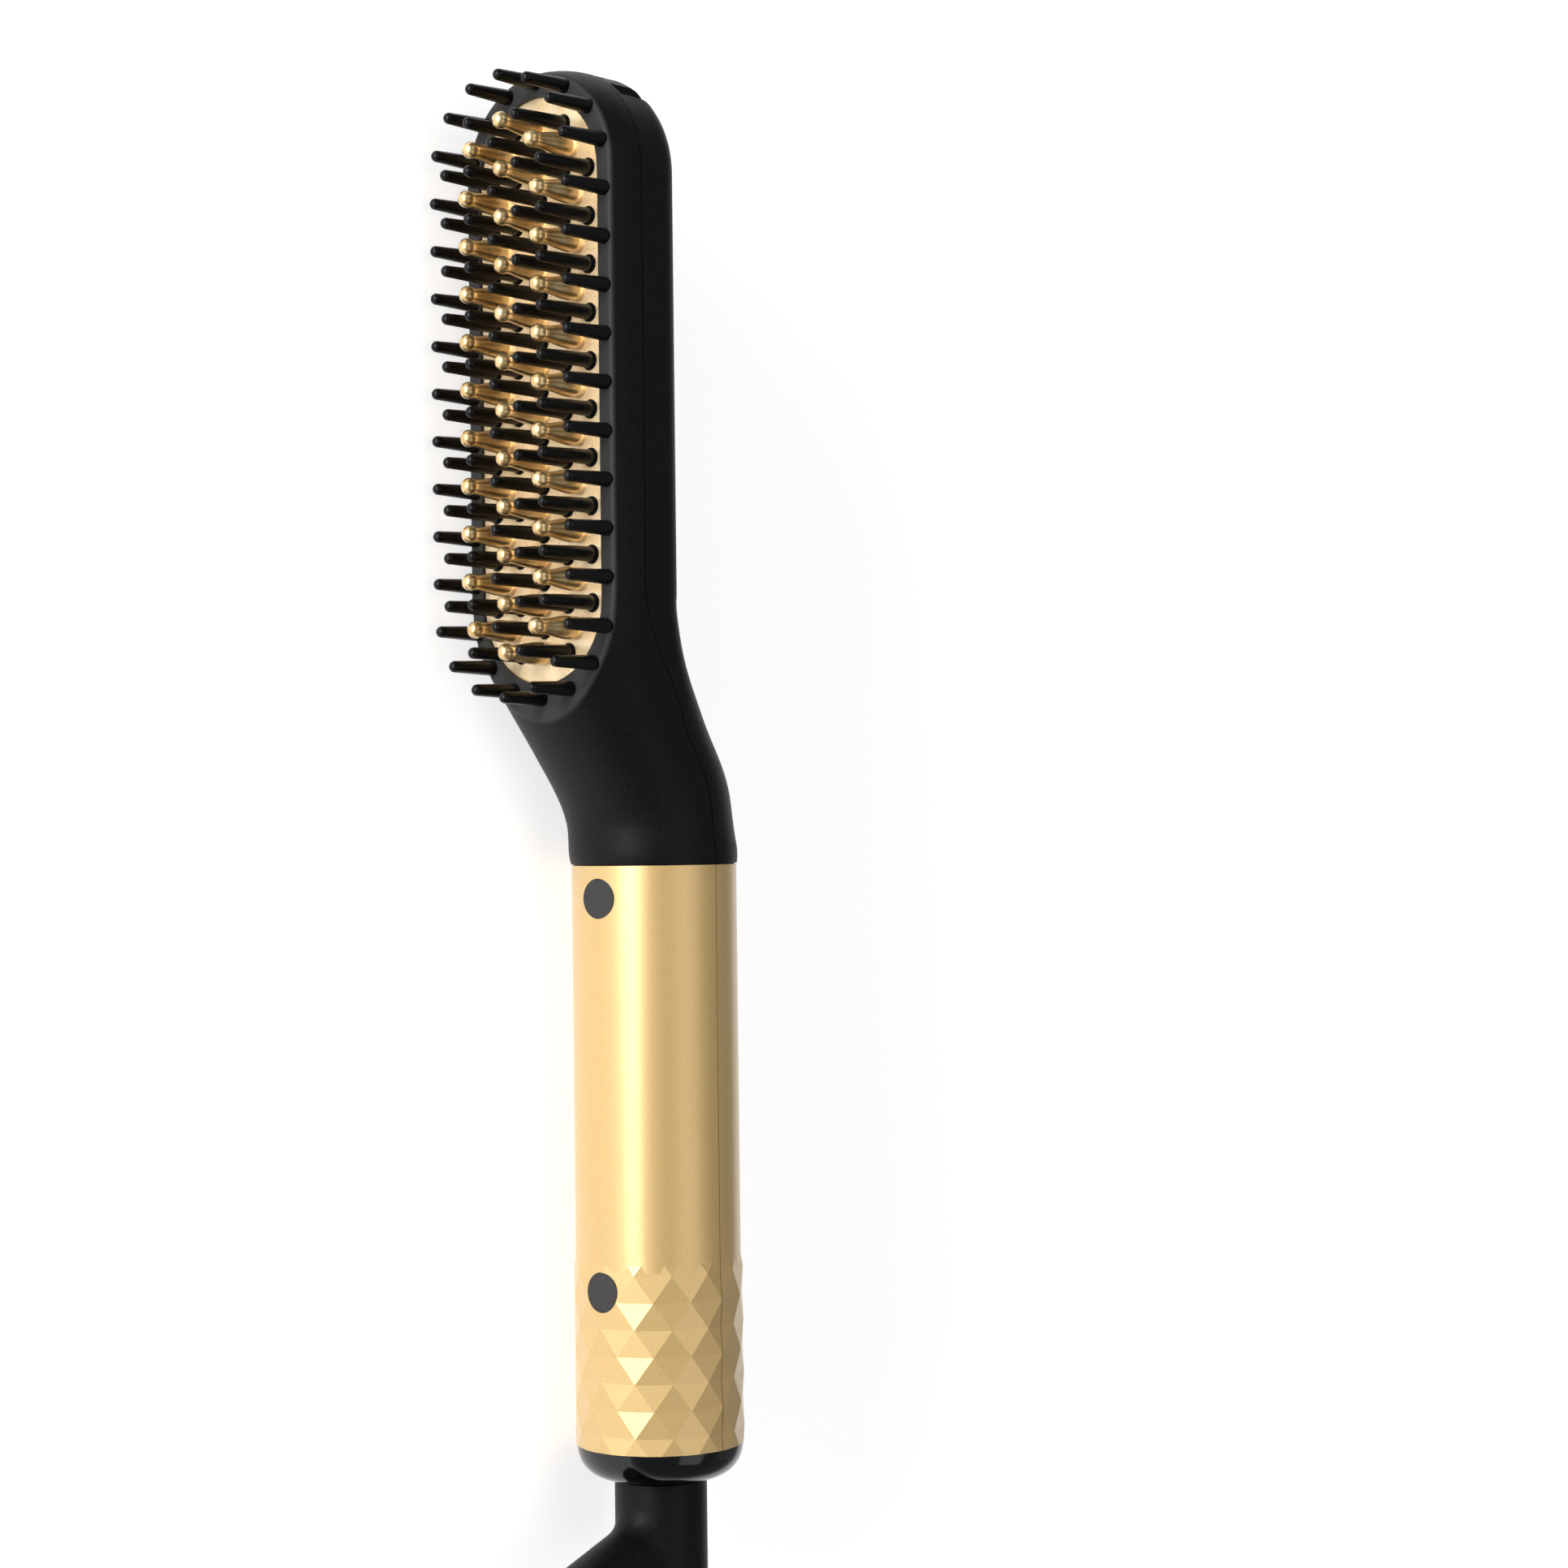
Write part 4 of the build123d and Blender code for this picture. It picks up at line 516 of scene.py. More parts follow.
def rim_bristle_tree():
    """Bristles on the rim: a row along each side, and a fan round each end."""
    tree, given = field_tree("rim_bristles", ("Rim Offset", "End Centre"), ("End Count",))
    points = add_node(tree, "GeometryNodeJoinGeometry")

    # the rows: a rim offset across, and drawn in round the end past the end's centre
    place = add_node(tree, "ShaderNodeSeparateXYZ", {
        0: add_node(tree, "GeometryNodeInputPosition"),
    })
    along = add_node(tree, "ShaderNodeMath", {0: place.outputs[0]}, operation="ABSOLUTE")
    past = add_node(tree, "ShaderNodeMath", {
        0: along, 1: given["End Centre"],
    }, operation="SUBTRACT")
    past = add_node(tree, "ShaderNodeMath", {0: past, 1: 0.0}, operation="MAXIMUM")
    squares = [add_node(tree, "ShaderNodeMath", {
        0: length, 1: 2.0,
    }, operation="POWER") for length in (given["Rim Offset"], past)]
    across = add_node(tree, "ShaderNodeMath", {0: squares[0], 1: squares[1]}, operation="SUBTRACT")
    across = add_node(tree, "ShaderNodeMath", {0: across}, operation="SQRT")
    for side in (1.0, -1.0):
        apart = add_node(tree, "ShaderNodeMath", {0: across, 1: side}, operation="MULTIPLY")
        row = add_node(tree, "GeometryNodeSetPosition", {
            "Geometry": bristle_column(tree, given),
            "Offset": add_node(tree, "ShaderNodeCombineXYZ", {2: apart}),
        })
        tree.links.new(row.outputs[0], points.inputs[0])

    # the fans: even steps of angle between the last bristles of the two rows
    gaps = add_node(tree, "ShaderNodeMath", {0: given["Rows"], 1: -1.0}, operation="ADD")
    reach = add_node(tree, "ShaderNodeMath", {0: gaps, 1: given["Row Pitch"]}, operation="MULTIPLY")
    half = add_node(tree, "ShaderNodeMath", {0: reach, 1: 0.5}, operation="MULTIPLY")
    last = add_node(tree, "ShaderNodeMath", {0: half, 1: given["End Centre"]}, operation="SUBTRACT")
    sine = add_node(tree, "ShaderNodeMath", {0: last, 1: given["Rim Offset"]}, operation="DIVIDE")
    first = add_node(tree, "ShaderNodeMath", {0: sine}, operation="ARCSINE")
    span = add_node(tree, "ShaderNodeMath", {
        0: first, 1: -2.0, 2: math.pi,
    }, operation="MULTIPLY_ADD")
    step, steps = (add_node(tree, "ShaderNodeMath", {
        0: number, 1: 1.0,
    }, operation="ADD") for number in (
        add_node(tree, "GeometryNodeInputIndex"), given["End Count"]))
    share = add_node(tree, "ShaderNodeMath", {0: step, 1: steps}, operation="DIVIDE")
    angle = add_node(tree, "ShaderNodeMath", {
        0: share, 1: span, 2: first,
    }, operation="MULTIPLY_ADD")
    wide, far = (add_node(tree, "ShaderNodeMath", {
        0: angle,
    }, operation=wave) for wave in ("COSINE", "SINE"))
    wing = add_node(tree, "ShaderNodeMath", {0: wide, 1: given["Rim Offset"]}, operation="MULTIPLY")
    tip = add_node(tree, "ShaderNodeMath", {
        0: far, 1: given["Rim Offset"], 2: given["End Centre"],
    }, operation="MULTIPLY_ADD")
    for end in (1.0, -1.0):
        line = add_node(tree, "GeometryNodeMeshLine", {"Count": given["End Count"]}, mode="OFFSET")
        there = add_node(tree, "ShaderNodeMath", {0: tip, 1: end}, operation="MULTIPLY")
        fan = add_node(tree, "GeometryNodeSetPosition", {
            "Geometry": line,
            "Position": add_node(tree, "ShaderNodeCombineXYZ", {0: there, 2: wing}),
        })
        tree.links.new(fan.outputs[0], points.inputs[0])
    return finish_tree(tree, given, points)


def tooth_tree():
    """Three columns of heated teeth; the outer columns' end teeth stand a little further in."""
    tree, given = field_tree("heated_teeth", ("Inset",))
    points = add_node(tree, "GeometryNodeJoinGeometry")
    tree.links.new(bristle_column(tree, given, 1).outputs[0], points.inputs[0])
    index = add_node(tree, "GeometryNodeInputIndex")
    last = add_node(tree, "ShaderNodeMath", {0: given["Rows"], 1: -1.0}, operation="ADD")
    at_first = add_node(tree, "ShaderNodeMath", {0: index, 1: 0.5}, operation="LESS_THAN")
    at_last = add_node(tree, "ShaderNodeMath", {0: index, 1: last, 2: 0.5}, operation="COMPARE")
    at_end = add_node(tree, "ShaderNodeMath", {0: at_first, 1: at_last}, operation="MAXIMUM")
    inward = add_node(tree, "ShaderNodeMath", {0: at_end, 1: given["Inset"]}, operation="MULTIPLY")
    for across, back in ((3, -1.0), (-3, 1.0)):
        shift = add_node(tree, "ShaderNodeMath", {0: inward, 1: back}, operation="MULTIPLY")
        column = add_node(tree, "GeometryNodeSetPosition", {
            "Geometry": bristle_column(tree, given, 0, across),
            "Offset": add_node(tree, "ShaderNodeCombineXYZ", {2: shift}),
        })
        tree.links.new(column.outputs[0], points.inputs[0])
    return finish_tree(tree, given, points)


# ---------------------------------------------------------------- what a user may change


class StageSettings(bpy.types.PropertyGroup):
    camera_place: bpy.props.FloatVectorProperty(
        name="Camera place", description="Where the camera stands",
        default=(-0.00687, -0.41724, 0.41233), subtype="XYZ", unit="LENGTH")
    camera_turn: bpy.props.FloatVectorProperty(
        name="Camera turn", description="How the camera is turned",
        default=tuple(math.radians(a) for a in (1.46, -49.7322, 88.9695)),
        subtype="EULER", unit="ROTATION")
    camera_lens: bpy.props.FloatProperty(
        name="Lens", description="Focal length on a 36 mm sensor, in millimetres", default=75.904)
    sky: bpy.props.FloatProperty(
        name="Room light", description="Strength of the even light of the room", default=0.2)


class FinishSettings(bpy.types.PropertyGroup):
    lacquer: bpy.props.StringProperty(
        name="Lacquer", description="Colour of the handle's lacquer, sRGB hex", default="#ca9a2c")
    lacquer_flake: bpy.props.StringProperty(
        name="Flakes", description="Colour of the brightest flakes in it, sRGB hex",
        default="#f4e8c4")
    black: bpy.props.StringProperty(
        name="Black plastic", description="Colour of the textured black plastic, sRGB hex",
        default="#080809")
    # the rim's paler grey is painted sheen, standing in for the lamps' reflection on its face
    rim: bpy.props.StringProperty(
        name="Rim", description="Colour of the rim's face round the plate, sRGB hex",
        default="#343433")
    plate: bpy.props.StringProperty(
        name="Plate", description="Colour of the anodised plate, sRGB hex", default="#f5d5a2")
    teeth: bpy.props.StringProperty(
        name="Teeth", description="Colour of the heated teeth, sRGB hex", default="#d8b172")


class BristleSettings(bpy.types.PropertyGroup):
    rows: bpy.props.IntProperty(
        name="Rows", description="Bristles along each side of the head", default=11)
    end_count: bpy.props.IntProperty(
        name="End bristles", description="Bristles round each end of the head", default=5)
    row_pitch: bpy.props.FloatProperty(
        name="Row pitch", description="Distance between rows",
        default=8.14364 * MM, unit="LENGTH")
    column_pitch: bpy.props.FloatProperty(
        name="Column pitch", description="Distance between columns",
        default=2.7975 * MM, unit="LENGTH")
    rim_offset: bpy.props.FloatProperty(
        name="Rim offset", description="From the middle of the head to the rim's bristles",
        default=15.54 * MM, unit="LENGTH")
    rim_length: bpy.props.FloatProperty(
        name="Rim bristle length", description="Height of the rim's bristles",
        default=9.9 * MM, unit="LENGTH")
    plate_length: bpy.props.FloatProperty(
        name="Plate bristle length", description="Height of the plate's bristles",
        default=12.4 * MM, unit="LENGTH")
    plate_root: bpy.props.FloatProperty(
        name="Plate bristle root", description="How deep a plate's bristle starts in its hole",
        default=0.8 * MM, unit="LENGTH")
    foot_radius: bpy.props.FloatProperty(
        name="Foot radius", description="Radius at the foot of a bristle",
        default=1.36 * MM, unit="LENGTH")
    tip_radius: bpy.props.FloatProperty(
        name="Tip radius", description="Radius of a bristle's round tip",
        default=1.0 * MM, unit="LENGTH")
    tooth_length: bpy.props.FloatProperty(
        name="Tooth length", description="Height of the heated teeth",
        default=10.8 * MM, unit="LENGTH")
    tooth_foot_radius: bpy.props.FloatProperty(
        name="Tooth foot radius", description="Radius at the foot of a tooth",
        default=2.0 * MM, unit="LENGTH")
    tooth_neck_radius: bpy.props.FloatProperty(
        name="Tooth neck radius", description="Radius where a tooth's ball begins",
        default=1.42 * MM, unit="LENGTH")
    tooth_swell: bpy.props.FloatProperty(
        name="Tooth swell", description="How much thinner the neck is just below the ball",
        default=0.145 * MM, unit="LENGTH")
    tooth_ball_radius: bpy.props.FloatProperty(
        name="Tooth ball radius", description="Radius of a tooth's ball end",
        default=1.5 * MM, unit="LENGTH")
    tooth_inset: bpy.props.FloatProperty(
        name="Tooth inset", description="How much further in the outer columns' end teeth stand",
        default=1.2 * MM, unit="LENGTH")


class LetteringSettings(bpy.types.PropertyGroup):
    sleeve_radius: bpy.props.FloatProperty(
        name="Sleeve radius", description="Radius of the handle that the lettering is printed on",
        default=14.5 * MM, unit="LENGTH")
    panel_level: bpy.props.FloatProperty(
        name="Panel level", description="From the handle's axis to the floor of the switch's panel",
        default=13.1 * MM, unit="LENGTH")
    ink: bpy.props.StringProperty(
        name="Ink", description="Colour of the printed letters, sRGB hex", default="#141312")
    ink_level: bpy.props.FloatProperty(
        name="Ink level", description="How far the ink stands on the lacquer",
        default=0.015 * MM, unit="LENGTH")


# ---------------------------------------------------------------- the stage

SENSOR_WIDTH = 36
FLOOR_HALF = 3.0
# the floor's glow to the camera at two distances from its middle, and its glow in reflections
FLOOR_NEAR, FLOOR_FAR = 0.4, 1.6
GLOW_NEAR, GLOW_FAR = 0.6, 1.0
FLOOR_IN_GLOSS = 0.7
# the share of the world's white that reflections see: this much at the first height of the ray's
# direction, where 0 is level and 1 is straight up, and none at the second
WORLD_IN_GLOSS = 0.3
HORIZON_LOW, HORIZON_HIGH = 0.02, 0.2
# each lamp's name, place, the point it is aimed at, width and height in metres, and watts
LAMPS = (
    ("front_strip", (-0.2, -0.8, 0.17), (0.0, 0.0, 0.02), (0.9, 0.32), 7.0),
    ("front_spot", (-0.32, -0.74, 0.16), (0.0, 0.0, 0.02), (0.06, 0.06), 1.0),
    ("top_box", (0.0, -0.1, 2.4), (0.0, -0.1, 0.0), (4.0, 1.5), 17.0),
    ("back_box", (0.0, 1.1, 0.7), (0.0, 0.0, 0.02), (1.6, 0.8), 0.4),
)


class COMB_OT_stage(bpy.types.Operator):
    """Sets up the camera, the lamps and the floor"""
    bl_idname = "comb.stage"
    bl_label = "Stage"

    def execute(self, context):
        settings = context.scene.comb_stage
        camera = bpy.data.objects.new("camera", bpy.data.cameras.new("camera"))
        context.scene.collection.objects.link(camera)
        camera.location = settings.camera_place
        camera.rotation_euler = Euler(settings.camera_turn)
        camera.data.lens = settings.camera_lens
        camera.data.sensor_width = SENSOR_WIDTH
        context.scene.camera = camera
        self.add_floor(context)
        self.add_lamps(context)
        self.set_world(context, settings.sky)
        context.scene.view_settings.view_transform = "Standard"
        return {"FINISHED"}

    def add_floor(self, context):
        """A wide white table top that shows white to the camera and keeps the brush's shadow."""
        mesh = bpy.data.meshes.new("floor")
        corners = [(x * FLOOR_HALF, y * FLOOR_HALF, 0)
                   for x, y in ((-1, -1), (1, -1), (1, 1), (-1, 1))]
        mesh.from_pydata(corners, [], [(0, 1, 2, 3)])
        floor = bpy.data.objects.new("floor", mesh)
        context.scene.collection.objects.link(floor)
        material, tree = new_finish("white_laminate_floor")
        path = add_node(tree, "ShaderNodeLightPath").outputs
        paper = add_node(tree, "ShaderNodeBsdfDiffuse", {"Color": linear("#f4f4f4")})
        # the far floor, which the lamps hardly reach, shows the same white as under the brush
        away = add_node(tree, "ShaderNodeVectorMath", {
            0: add_node(tree, "ShaderNodeTexCoord").outputs["Object"],
        }, operation="LENGTH").outputs["Value"]
        to_camera = add_node(tree, "ShaderNodeMapRange", {
            "Value": away, "From Min": FLOOR_NEAR, "From Max": FLOOR_FAR,
            "To Min": GLOW_NEAR, "To Max": GLOW_FAR,
        })
        to_gloss = add_node(tree, "ShaderNodeMath", {
            0: path["Is Glossy Ray"], 1: FLOOR_IN_GLOSS,
        }, operation="MULTIPLY")
        # what is seen through the clear pieces is the same floor as the camera sees
        seen = add_node(tree, "ShaderNodeMath", {
            0: path["Is Camera Ray"], 1: path["Is Transmission Ray"],
        }, operation="MAXIMUM")
        strength = add_node(tree, "ShaderNodeMath", {
            0: seen, 1: to_camera, 2: to_gloss,
        }, operation="MULTIPLY_ADD")
        glow = add_node(tree, "ShaderNodeEmission", {
            "Color": linear("#ffffff"), "Strength": strength,
        })
        lit = add_node(tree, "ShaderNodeAddShader", {0: paper, 1: glow})
        add_node(tree, "ShaderNodeOutputMaterial", {"Surface": lit})
        mesh.materials.append(material)

    def add_lamps(self, context):
        """A low strip and a small lamp in front, a wide box overhead and a weak one behind."""
        for name, place, aim, size, watts in LAMPS:
            lamp = bpy.data.lights.new(name, "AREA")
            lamp.shape = "RECTANGLE"
            lamp.size, lamp.size_y = size
            lamp.energy = watts
            holder = bpy.data.objects.new(name, lamp)
            context.scene.collection.objects.link(holder)
            holder.location = place
            towards = Vector(aim) - Vector(place)
            holder.rotation_euler = towards.to_track_quat("-Z", "Y").to_euler()
            holder.visible_camera = False

    def set_world(self, context, strength):
        """Even light from all round, white to the camera and through the clear pieces."""
        world = bpy.data.worlds.new("room")
        world.use_nodes = True
        tree = world.node_tree
        tree.nodes.clear()
        path = add_node(tree, "ShaderNodeLightPath").outputs
        room, white = (add_node(tree, "ShaderNodeBackground", {
            "Color": linear("#ffffff"), "Strength": power,
        }) for power in (strength, 1.0))
        # reflections see part of the white near the horizon, and the darker room above it
        up = add_node(tree, "ShaderNodeSeparateXYZ", {
            0: add_node(tree, "ShaderNodeTexCoord").outputs["Generated"],
        })
        horizon = add_node(tree, "ShaderNodeMapRange", {
            "Value": up.outputs[2], "From Min": HORIZON_LOW, "From Max": HORIZON_HIGH,
            "To Min": WORLD_IN_GLOSS, "To Max": 0.0,
        })
        mirrored = add_node(tree, "ShaderNodeMath", {
            0: horizon, 1: path["Is Glossy Ray"],
        }, operation="MULTIPLY")
        through = add_node(tree, "ShaderNodeMath", {
            0: path["Is Camera Ray"], 1: path["Is Transmission Ray"],
        }, operation="MAXIMUM")
        shown = add_node(tree, "ShaderNodeMath", {0: mirrored, 1: through}, operation="MAXIMUM")
        mix = add_node(tree, "ShaderNodeMixShader", {0: shown, 1: room, 2: white})
        add_node(tree, "ShaderNodeOutputWorld", {"Surface": mix})
        context.scene.world = world


# ---------------------------------------------------------------- finishes of kept pieces


class COMB_OT_finishes(bpy.types.Operator):
    """Gives every piece that keeps its shape its finish"""
    bl_idname = "comb.finishes"
    bl_label = "Finishes"

    def execute(self, context):
        colours = context.scene.comb_finish
        textured = (colours.black, 0.5, 0.13, 0.016, "#171818", 0.15)
        rim_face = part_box("head_front_shell")[0][1]
        dressed = {
            metallic_lacquer("champagne_lacquer_sprayed", colours.lacquer, colours.lacquer_flake): (
                "handle_front_shell", "handle_back_shell"),
            moulded_plastic("black_abs_spark_textured", *textured): (
                "head_back_shell", "swivel_elbow"),
            # the rim's face is painted a paler grey as sheen, in place of the lamps' reflection
            rim_painted_sheen(moulded_plastic("black_abs_spark_textured_rim_painted_sheen", *textured),
                      rim_face, colours.rim): ("head_front_shell",),
            moulded_plastic("black_soft_pvc_moulded", "#0c0c0d", 0.55, 0.2, 0.01, shine=0.3): (
                "strain_relief",),
            moulded_plastic("black_abs_polished", "#060607", 0.12, 0.6, 0.0015): (
                "end_cap", "switch_button"),
            moulded_plastic("black_nylon_moulded", "#060606", 0.33, 0.3, 0.0005, shine=0.22): (
                "rim_pins", "tray_pins", "bristle_tray"),
            moulded_plastic("grey_rubber_moulded", "#202021", 0.45, 0.12, 0.006, "#2b2b2c"): (
                "screw_plug_neck", "screw_plug_tail"),
            anodised("gold_anodised_aluminium", colours.plate, "#fbe3ba", 0.4, 0.3, 0.6): (
                "heating_plate",),
            anodised("bronze_anodised_aluminium", colours.teeth, "#ecd09a", 0.9, 0.33, 1.0): (
                "plate_teeth",),
            clear_plastic("smoked_acrylic_cast", "#2a2622", 0.06, 0.7): ("indicator_lens",),
            clear_plastic("clear_epoxy_cast", "#f4f2ea", 0.12, 0.6): ("led",),
            bare_metal("aluminium_milled", "#cfd2d4", "#bfc3c6", 0.28, 0.15, 0.003): (
                "heat_spreader",),
            moulded_plastic("titanate_ceramic_fired", "#8d8a86", 0.45, 0.25, 0.004, "#a09c96"): (
                "ptc_heater",),
            polyimide_film("amber_polyimide_film"): ("heater_film",),
            mica_sheet("mica_sheet_pressed"): ("heat_shield",),
            bare_metal("steel_sheet_stamped", "#b9bcbf", "#a3a6aa", 0.3, 0.4, 0.002): (
                "strap_tip", "strap_neck"),
            bare_metal("steel_screw_zinc_plated", "#c9cdd2", "#b3b9c4", 0.22, 0.25, 0.001): (
                "strap_tip_screw_upper", "strap_tip_screw_lower", "strap_neck_screw_upper",
                "strap_neck_screw_lower", "handle_screw_neck", "handle_screw_tail"),
            bare_metal("spring_steel_blued", "#5d6068", "#4a4d57", 0.3, 0.3, 0.001): (
                "retaining_clip",),
            bare_metal("fuse_case_tinned", "#d4ccb4", "#c4b894", 0.2, 0.3, 0.001): (
                "thermal_fuse",),
            moulded_plastic("thermistor_glass_sealed", "#3a1a12", 0.12, 0.5, 0.002): (
                "thermistor",),
            solder_mask_board("green_board_glass_epoxy"): ("circuit_board",),
            moulded_plastic("capacitor_epoxy_dipped", "#9c3a22", 0.25, 1.2, 0.02, "#a8452a"): (
                "capacitor",),
            moulded_plastic("triac_epoxy_moulded", "#161617", 0.6, 0.1, 0.006, "#202021"): (
                "triac",),
            banded_resistor("resistor_lacquer_banded", "resistor", (
                (0.2, "#5a2f1a"), (0.34, "#151515"), (0.48, "#c0531f"), (0.72, "#b08a2c"),
            )): ("resistor",),
            moulded_plastic("switch_phenolic_moulded", "#1c1c1e", 0.4, 0.15, 0.006, "#27272a"): (
                "slide_switch",),
            bare_metal("contact_brass_stamped", "#d3b15e", "#c09a4c", 0.22, 0.3, 0.001): (
                "slider_contact", "pin_brush", "ring_brush", "slip_ring", "slip_pin"),
            moulded_plastic("contact_carrier_glass_filled_pbt", "#d9d6cc", 0.5, 0.3, 0.01,
                            "#e4e2da"): ("contact_carrier",),
            moulded_plastic("red_pvc_lead_extruded", "#a3161b", 0.35, 0.4, 0.004, "#ad2025"): (
                "heater_lead_live", "mains_lead_live"),
            moulded_plastic("blue_pvc_lead_extruded", "#1b3f96", 0.35, 0.4, 0.004, "#2449a2"): (
                "heater_lead_neutral", "mains_lead_neutral"),
        }
        undressed = set(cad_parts)
        for material, names in dressed.items():
            for name in names:
                undressed.remove(name)
                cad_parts[name].data.materials.clear()
                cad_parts[name].data.materials.append(material)
        if undressed:
            raise RuntimeError("no finish for " + ", ".join(sorted(undressed)))
        return {"FINISHED"}


# ---------------------------------------------------------------- bristles and teeth

# a bristle's neck against its tip: just thinner, so that the tip is round and no ball stands out
PLAIN_NECK = 0.999


def field_values(settings, material, **changes):
    """The inputs that every field of bristles shares, with its own changes."""
    values = {
        "Rows": settings.rows,
        "Row Pitch": settings.row_pitch,
        "Column Pitch": settings.column_pitch,
        "Foot Radius": settings.foot_radius,
        "Neck Radius": settings.tip_radius * PLAIN_NECK,
        "Ball Radius": settings.tip_radius,
        "Length": settings.plate_length,
        "Root": settings.plate_root,
        "Shoulder": 0.0,
        "Swell": 0.0,
        "Material": material,
    }
    values.update(changes)
    return values


class COMB_OT_bristles(bpy.types.Operator):
    """Stands the black bristles on the rim and through the plate"""
    bl_idname = "comb.bristles"
    bl_label = "Bristles"

    def execute(self, context):
        settings = context.scene.comb_bristles
        turned_bristle_tree()
        nylon = bpy.data.materials["black_nylon_moulded"]
        rim = made_by(rim_bristle_tree(), "rim_bristles", field_values(settings, nylon, **{
            "Length": settings.rim_length + RIM_LIFT,
            "Root": 0.0,
            "Rim Offset": settings.rim_offset,
            "End Centre": RIM_END_CENTRE,
            "End Count": settings.end_count,
        }), "handle", context)
        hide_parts("rim_pins")
        tray = made_by(plate_bristle_tree(), "plate_bristles", field_values(settings, nylon),
                       "handle", context)
        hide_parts("tray_pins")
        return {"FINISHED"}


class COMB_OT_teeth(bpy.types.Operator):
    """Stands the heated teeth on the plate"""
    bl_idname = "comb.teeth"
    bl_label = "Teeth"

    def execute(self, context):
        settings = context.scene.comb_bristles
        bronze = bpy.data.materials["bronze_anodised_aluminium"]
        teeth = made_by(tooth_tree(), "heated_teeth", field_values(settings, bronze, **{
            "Foot Radius": settings.tooth_foot_radius,
            "Neck Radius": settings.tooth_neck_radius,
            "Ball Radius": settings.tooth_ball_radius,
            "Length": settings.tooth_length,
            "Root": 0.0,
            "Shoulder": 1.0,
            "Swell": settings.tooth_swell,
            "Inset": settings.tooth_inset,
        }), "handle", context)
        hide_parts("plate_teeth")
        return {"FINISHED"}


# ---------------------------------------------------------------- lettering

# printed words: the text, the middle of its place along the handle from the joint and across it
# (round the sleeve), its height and width in millimetres, and whether it is on the flat panel
PRINTED_WORDS = (
    ("ON", -21.25, 0.0, 1.95, 4.1, True),
    ("OFF", -52.0, 0.0, 1.85, 5.4, False),
    ("392\u00b0F", -30.2, -9.65, 1.3, 4.2, False),
    ("356\u00b0F", -36.4, -9.6, 1.3, 4.1, False),
    ("0\u00b0F", -42.5, -8.4, 1.3, 2.6, False),
)
# printed dots: their places along and across, in millimetres
PRINTED_DOTS = ((-30.2, -6.45), (-36.4, -6.4), (-42.5, -6.3))
DOT_RADIUS, DOT_SIDES = 0.36 * MM, 24
# how much the strokes are thickened, for a letter 1 high, and the steps in each of their curves
STROKE_WEIGHT, CURVE_STEPS = 0.012, 4
# a word is cut into strips this wide, so that it can be bent round the sleeve
STRIP_WIDTH = 0.4 * MM


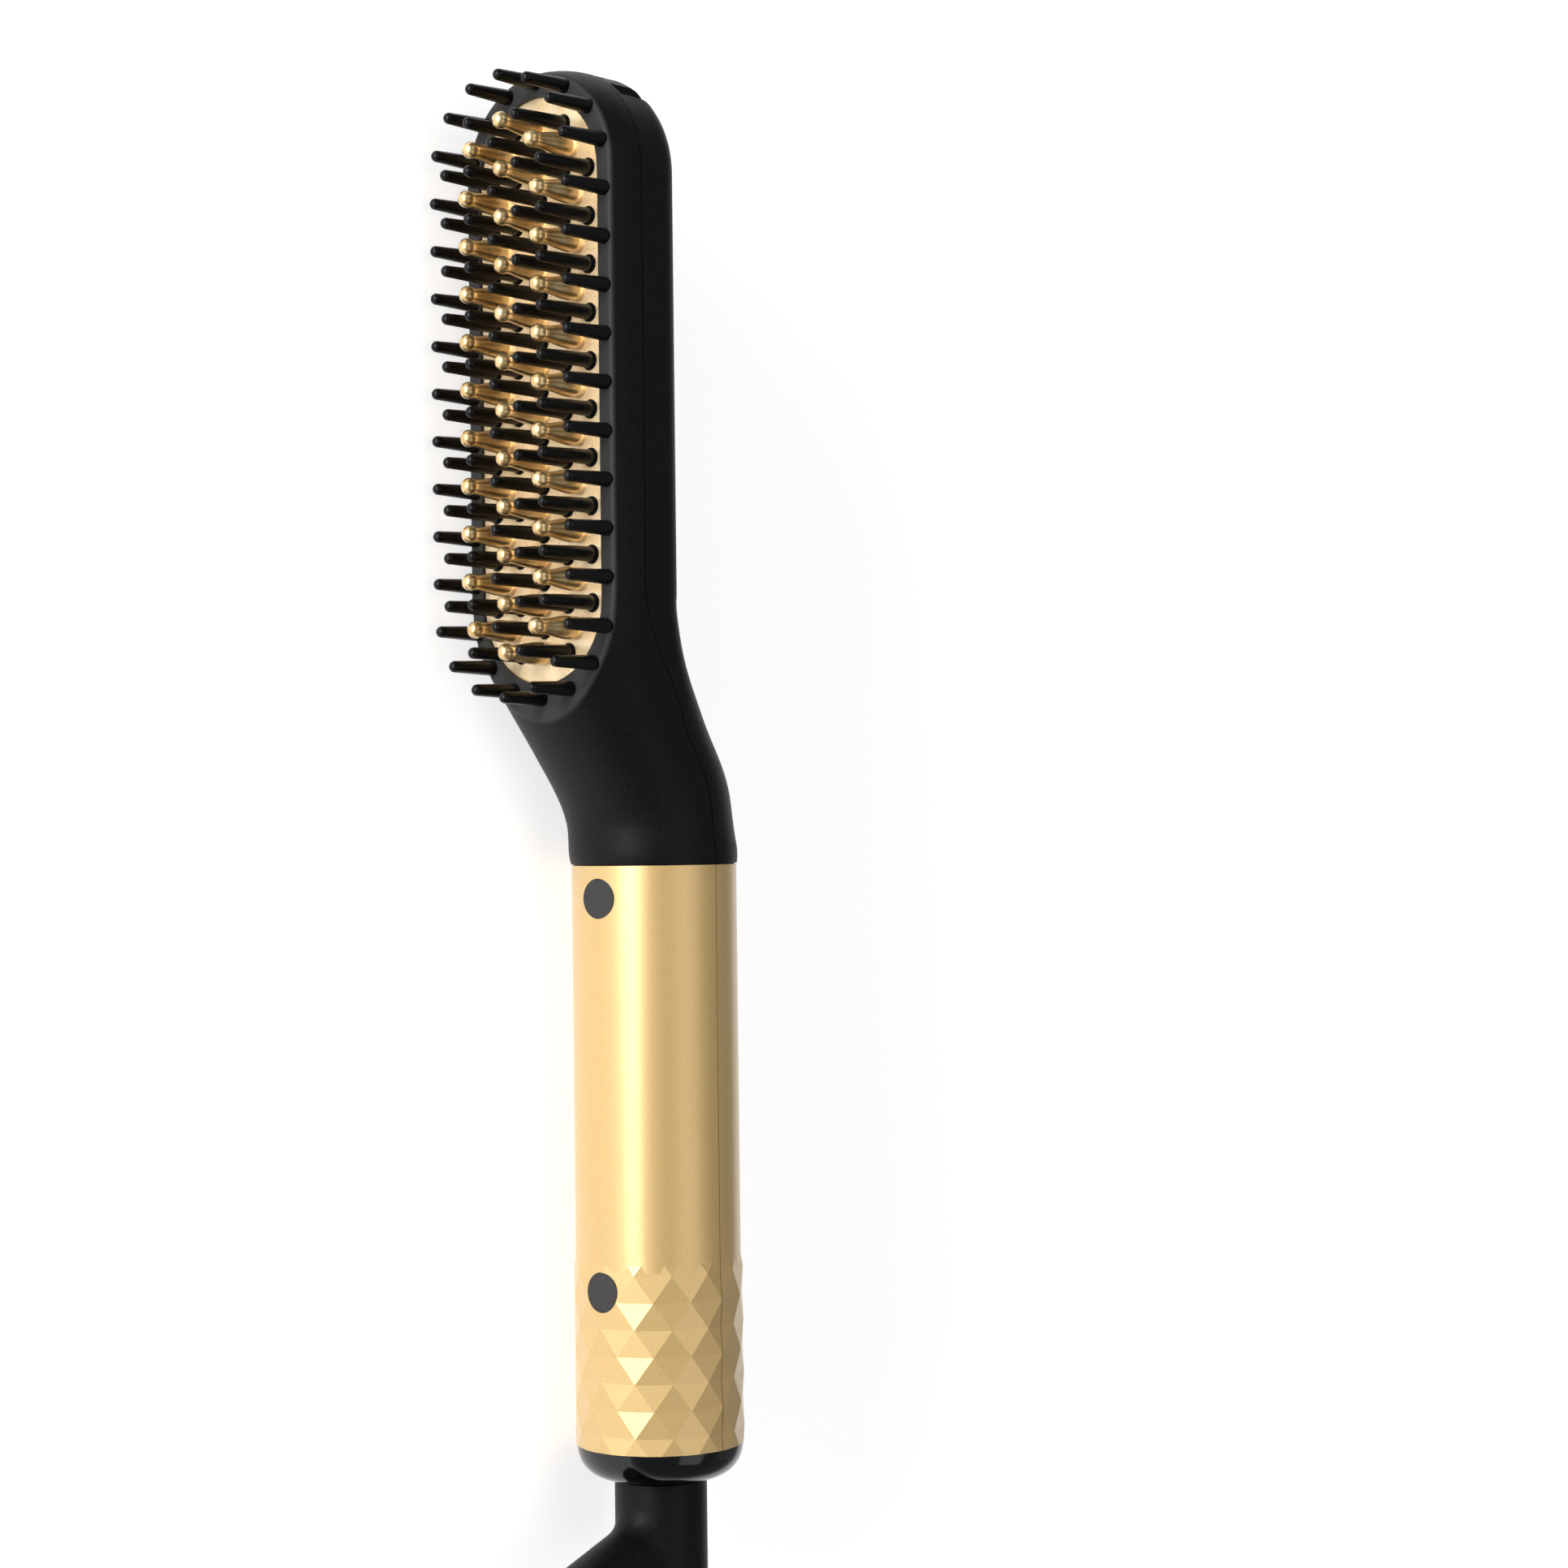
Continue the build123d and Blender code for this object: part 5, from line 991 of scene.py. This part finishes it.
class COMB_OT_lettering(bpy.types.Operator):
    """Prints ON, OFF and the temperature scale beside the switch"""
    bl_idname = "comb.lettering"
    bl_label = "Lettering"

    def execute(self, context):
        settings = context.scene.comb_lettering
        shapes = bmesh.new()
        for text, along, across, height, width, flat in PRINTED_WORDS:
            word = self.word_mesh(context, text, height * MM, width * MM)
            self.print_on(shapes, word, along * MM, across * MM, flat, settings)
        for along, across in PRINTED_DOTS:
            dot = bmesh.new()
            bmesh.ops.create_circle(dot, cap_ends=True, segments=DOT_SIDES, radius=DOT_RADIUS)
            self.print_on(shapes, dot, along * MM, across * MM, False, settings)
        mesh = bpy.data.meshes.new("printed_lettering")
        shapes.to_mesh(mesh)
        shapes.free()
        mesh.materials.append(
            moulded_plastic("black_ink_pad_printed", settings.ink, 0.45, 0.1, 0.002))
        piece = bpy.data.objects.new("printed_lettering", mesh)
        context.scene.collection.objects.link(piece)
        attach(piece, "handle")
        return {"FINISHED"}

    def word_mesh(self, context, text, height, width):
        """A word as flat faces in x and y, centred, with the given height and width."""
        curve = bpy.data.curves.new("word", "FONT")
        curve.body = text
        curve.resolution_u = CURVE_STEPS
        curve.offset = STROKE_WEIGHT
        holder = bpy.data.objects.new("word", curve)
        context.scene.collection.objects.link(holder)
        context.view_layer.update()
        evaluated = holder.evaluated_get(context.evaluated_depsgraph_get())
        flat = bpy.data.meshes.new_from_object(evaluated)
        bpy.data.objects.remove(holder)
        bpy.data.curves.remove(curve)
        word = bmesh.new()
        word.from_mesh(flat)
        bpy.data.meshes.remove(flat)
        low = [min(v.co[axis] for v in word.verts) for axis in (0, 1)]
        high = [max(v.co[axis] for v in word.verts) for axis in (0, 1)]
        for v in word.verts:
            v.co.x = (v.co.x - (low[0] + high[0]) / 2) / (high[0] - low[0]) * width
            v.co.y = (v.co.y - (low[1] + high[1]) / 2) / (high[1] - low[1]) * height
        return word

    def print_on(self, shapes, word, along, across, flat, settings):
        """Lays a flat word on the panel, or bends it round the sleeve."""
        level = (settings.panel_level if flat else settings.sleeve_radius) + settings.ink_level
        reach = max(abs(v.co.x) for v in word.verts)
        cuts = math.ceil(reach / STRIP_WIDTH)
        for cut in range(-cuts, cuts + 1):
            bmesh.ops.bisect_plane(word, geom=word.verts[:] + word.edges[:] + word.faces[:],
                                   plane_co=(cut * STRIP_WIDTH, 0, 0), plane_no=(1, 0, 0))
        for v in word.verts:
            x, y = v.co.x - across, v.co.y + along
            if flat:
                v.co = JOINT + Vector((-y, level, -x))
            else:
                turn = x / level
                v.co = JOINT + Vector((-y, level * math.cos(turn), -level * math.sin(turn)))
        piece = bpy.data.meshes.new("word")
        word.to_mesh(piece)
        word.free()
        shapes.from_mesh(piece)
        bpy.data.meshes.remove(piece)


class COMB_PT_panel(bpy.types.Panel):
    """The steps that build the hot comb"""
    bl_idname = "COMB_PT_panel"
    bl_label = "Hot comb"
    bl_space_type = "VIEW_3D"
    bl_region_type = "UI"
    bl_category = "Hot comb"

    def draw(self, context):
        for operator in OPERATORS:
            self.layout.operator(operator.bl_idname)


OPERATORS = (COMB_OT_stage, COMB_OT_finishes, COMB_OT_bristles, COMB_OT_teeth, COMB_OT_lettering)
SETTINGS = {
    "comb_stage": StageSettings, "comb_finish": FinishSettings,
    "comb_bristles": BristleSettings, "comb_lettering": LetteringSettings,
}


def register():
    for settings in SETTINGS.values():
        bpy.utils.register_class(settings)
    for name, settings in SETTINGS.items():
        setattr(bpy.types.Scene, name, bpy.props.PointerProperty(type=settings))
    for operator in OPERATORS:
        bpy.utils.register_class(operator)
    bpy.utils.register_class(COMB_PT_panel)


def unregister():
    bpy.utils.unregister_class(COMB_PT_panel)
    for operator in reversed(OPERATORS):
        bpy.utils.unregister_class(operator)
    for name, settings in SETTINGS.items():
        delattr(bpy.types.Scene, name)
        bpy.utils.unregister_class(settings)


def main():
    register()
    bpy.ops.comb.stage()
    bpy.ops.comb.finishes()
    bpy.ops.comb.bristles()
    bpy.ops.comb.teeth()
    bpy.ops.comb.lettering()


if __name__ == "__main__":
    main()
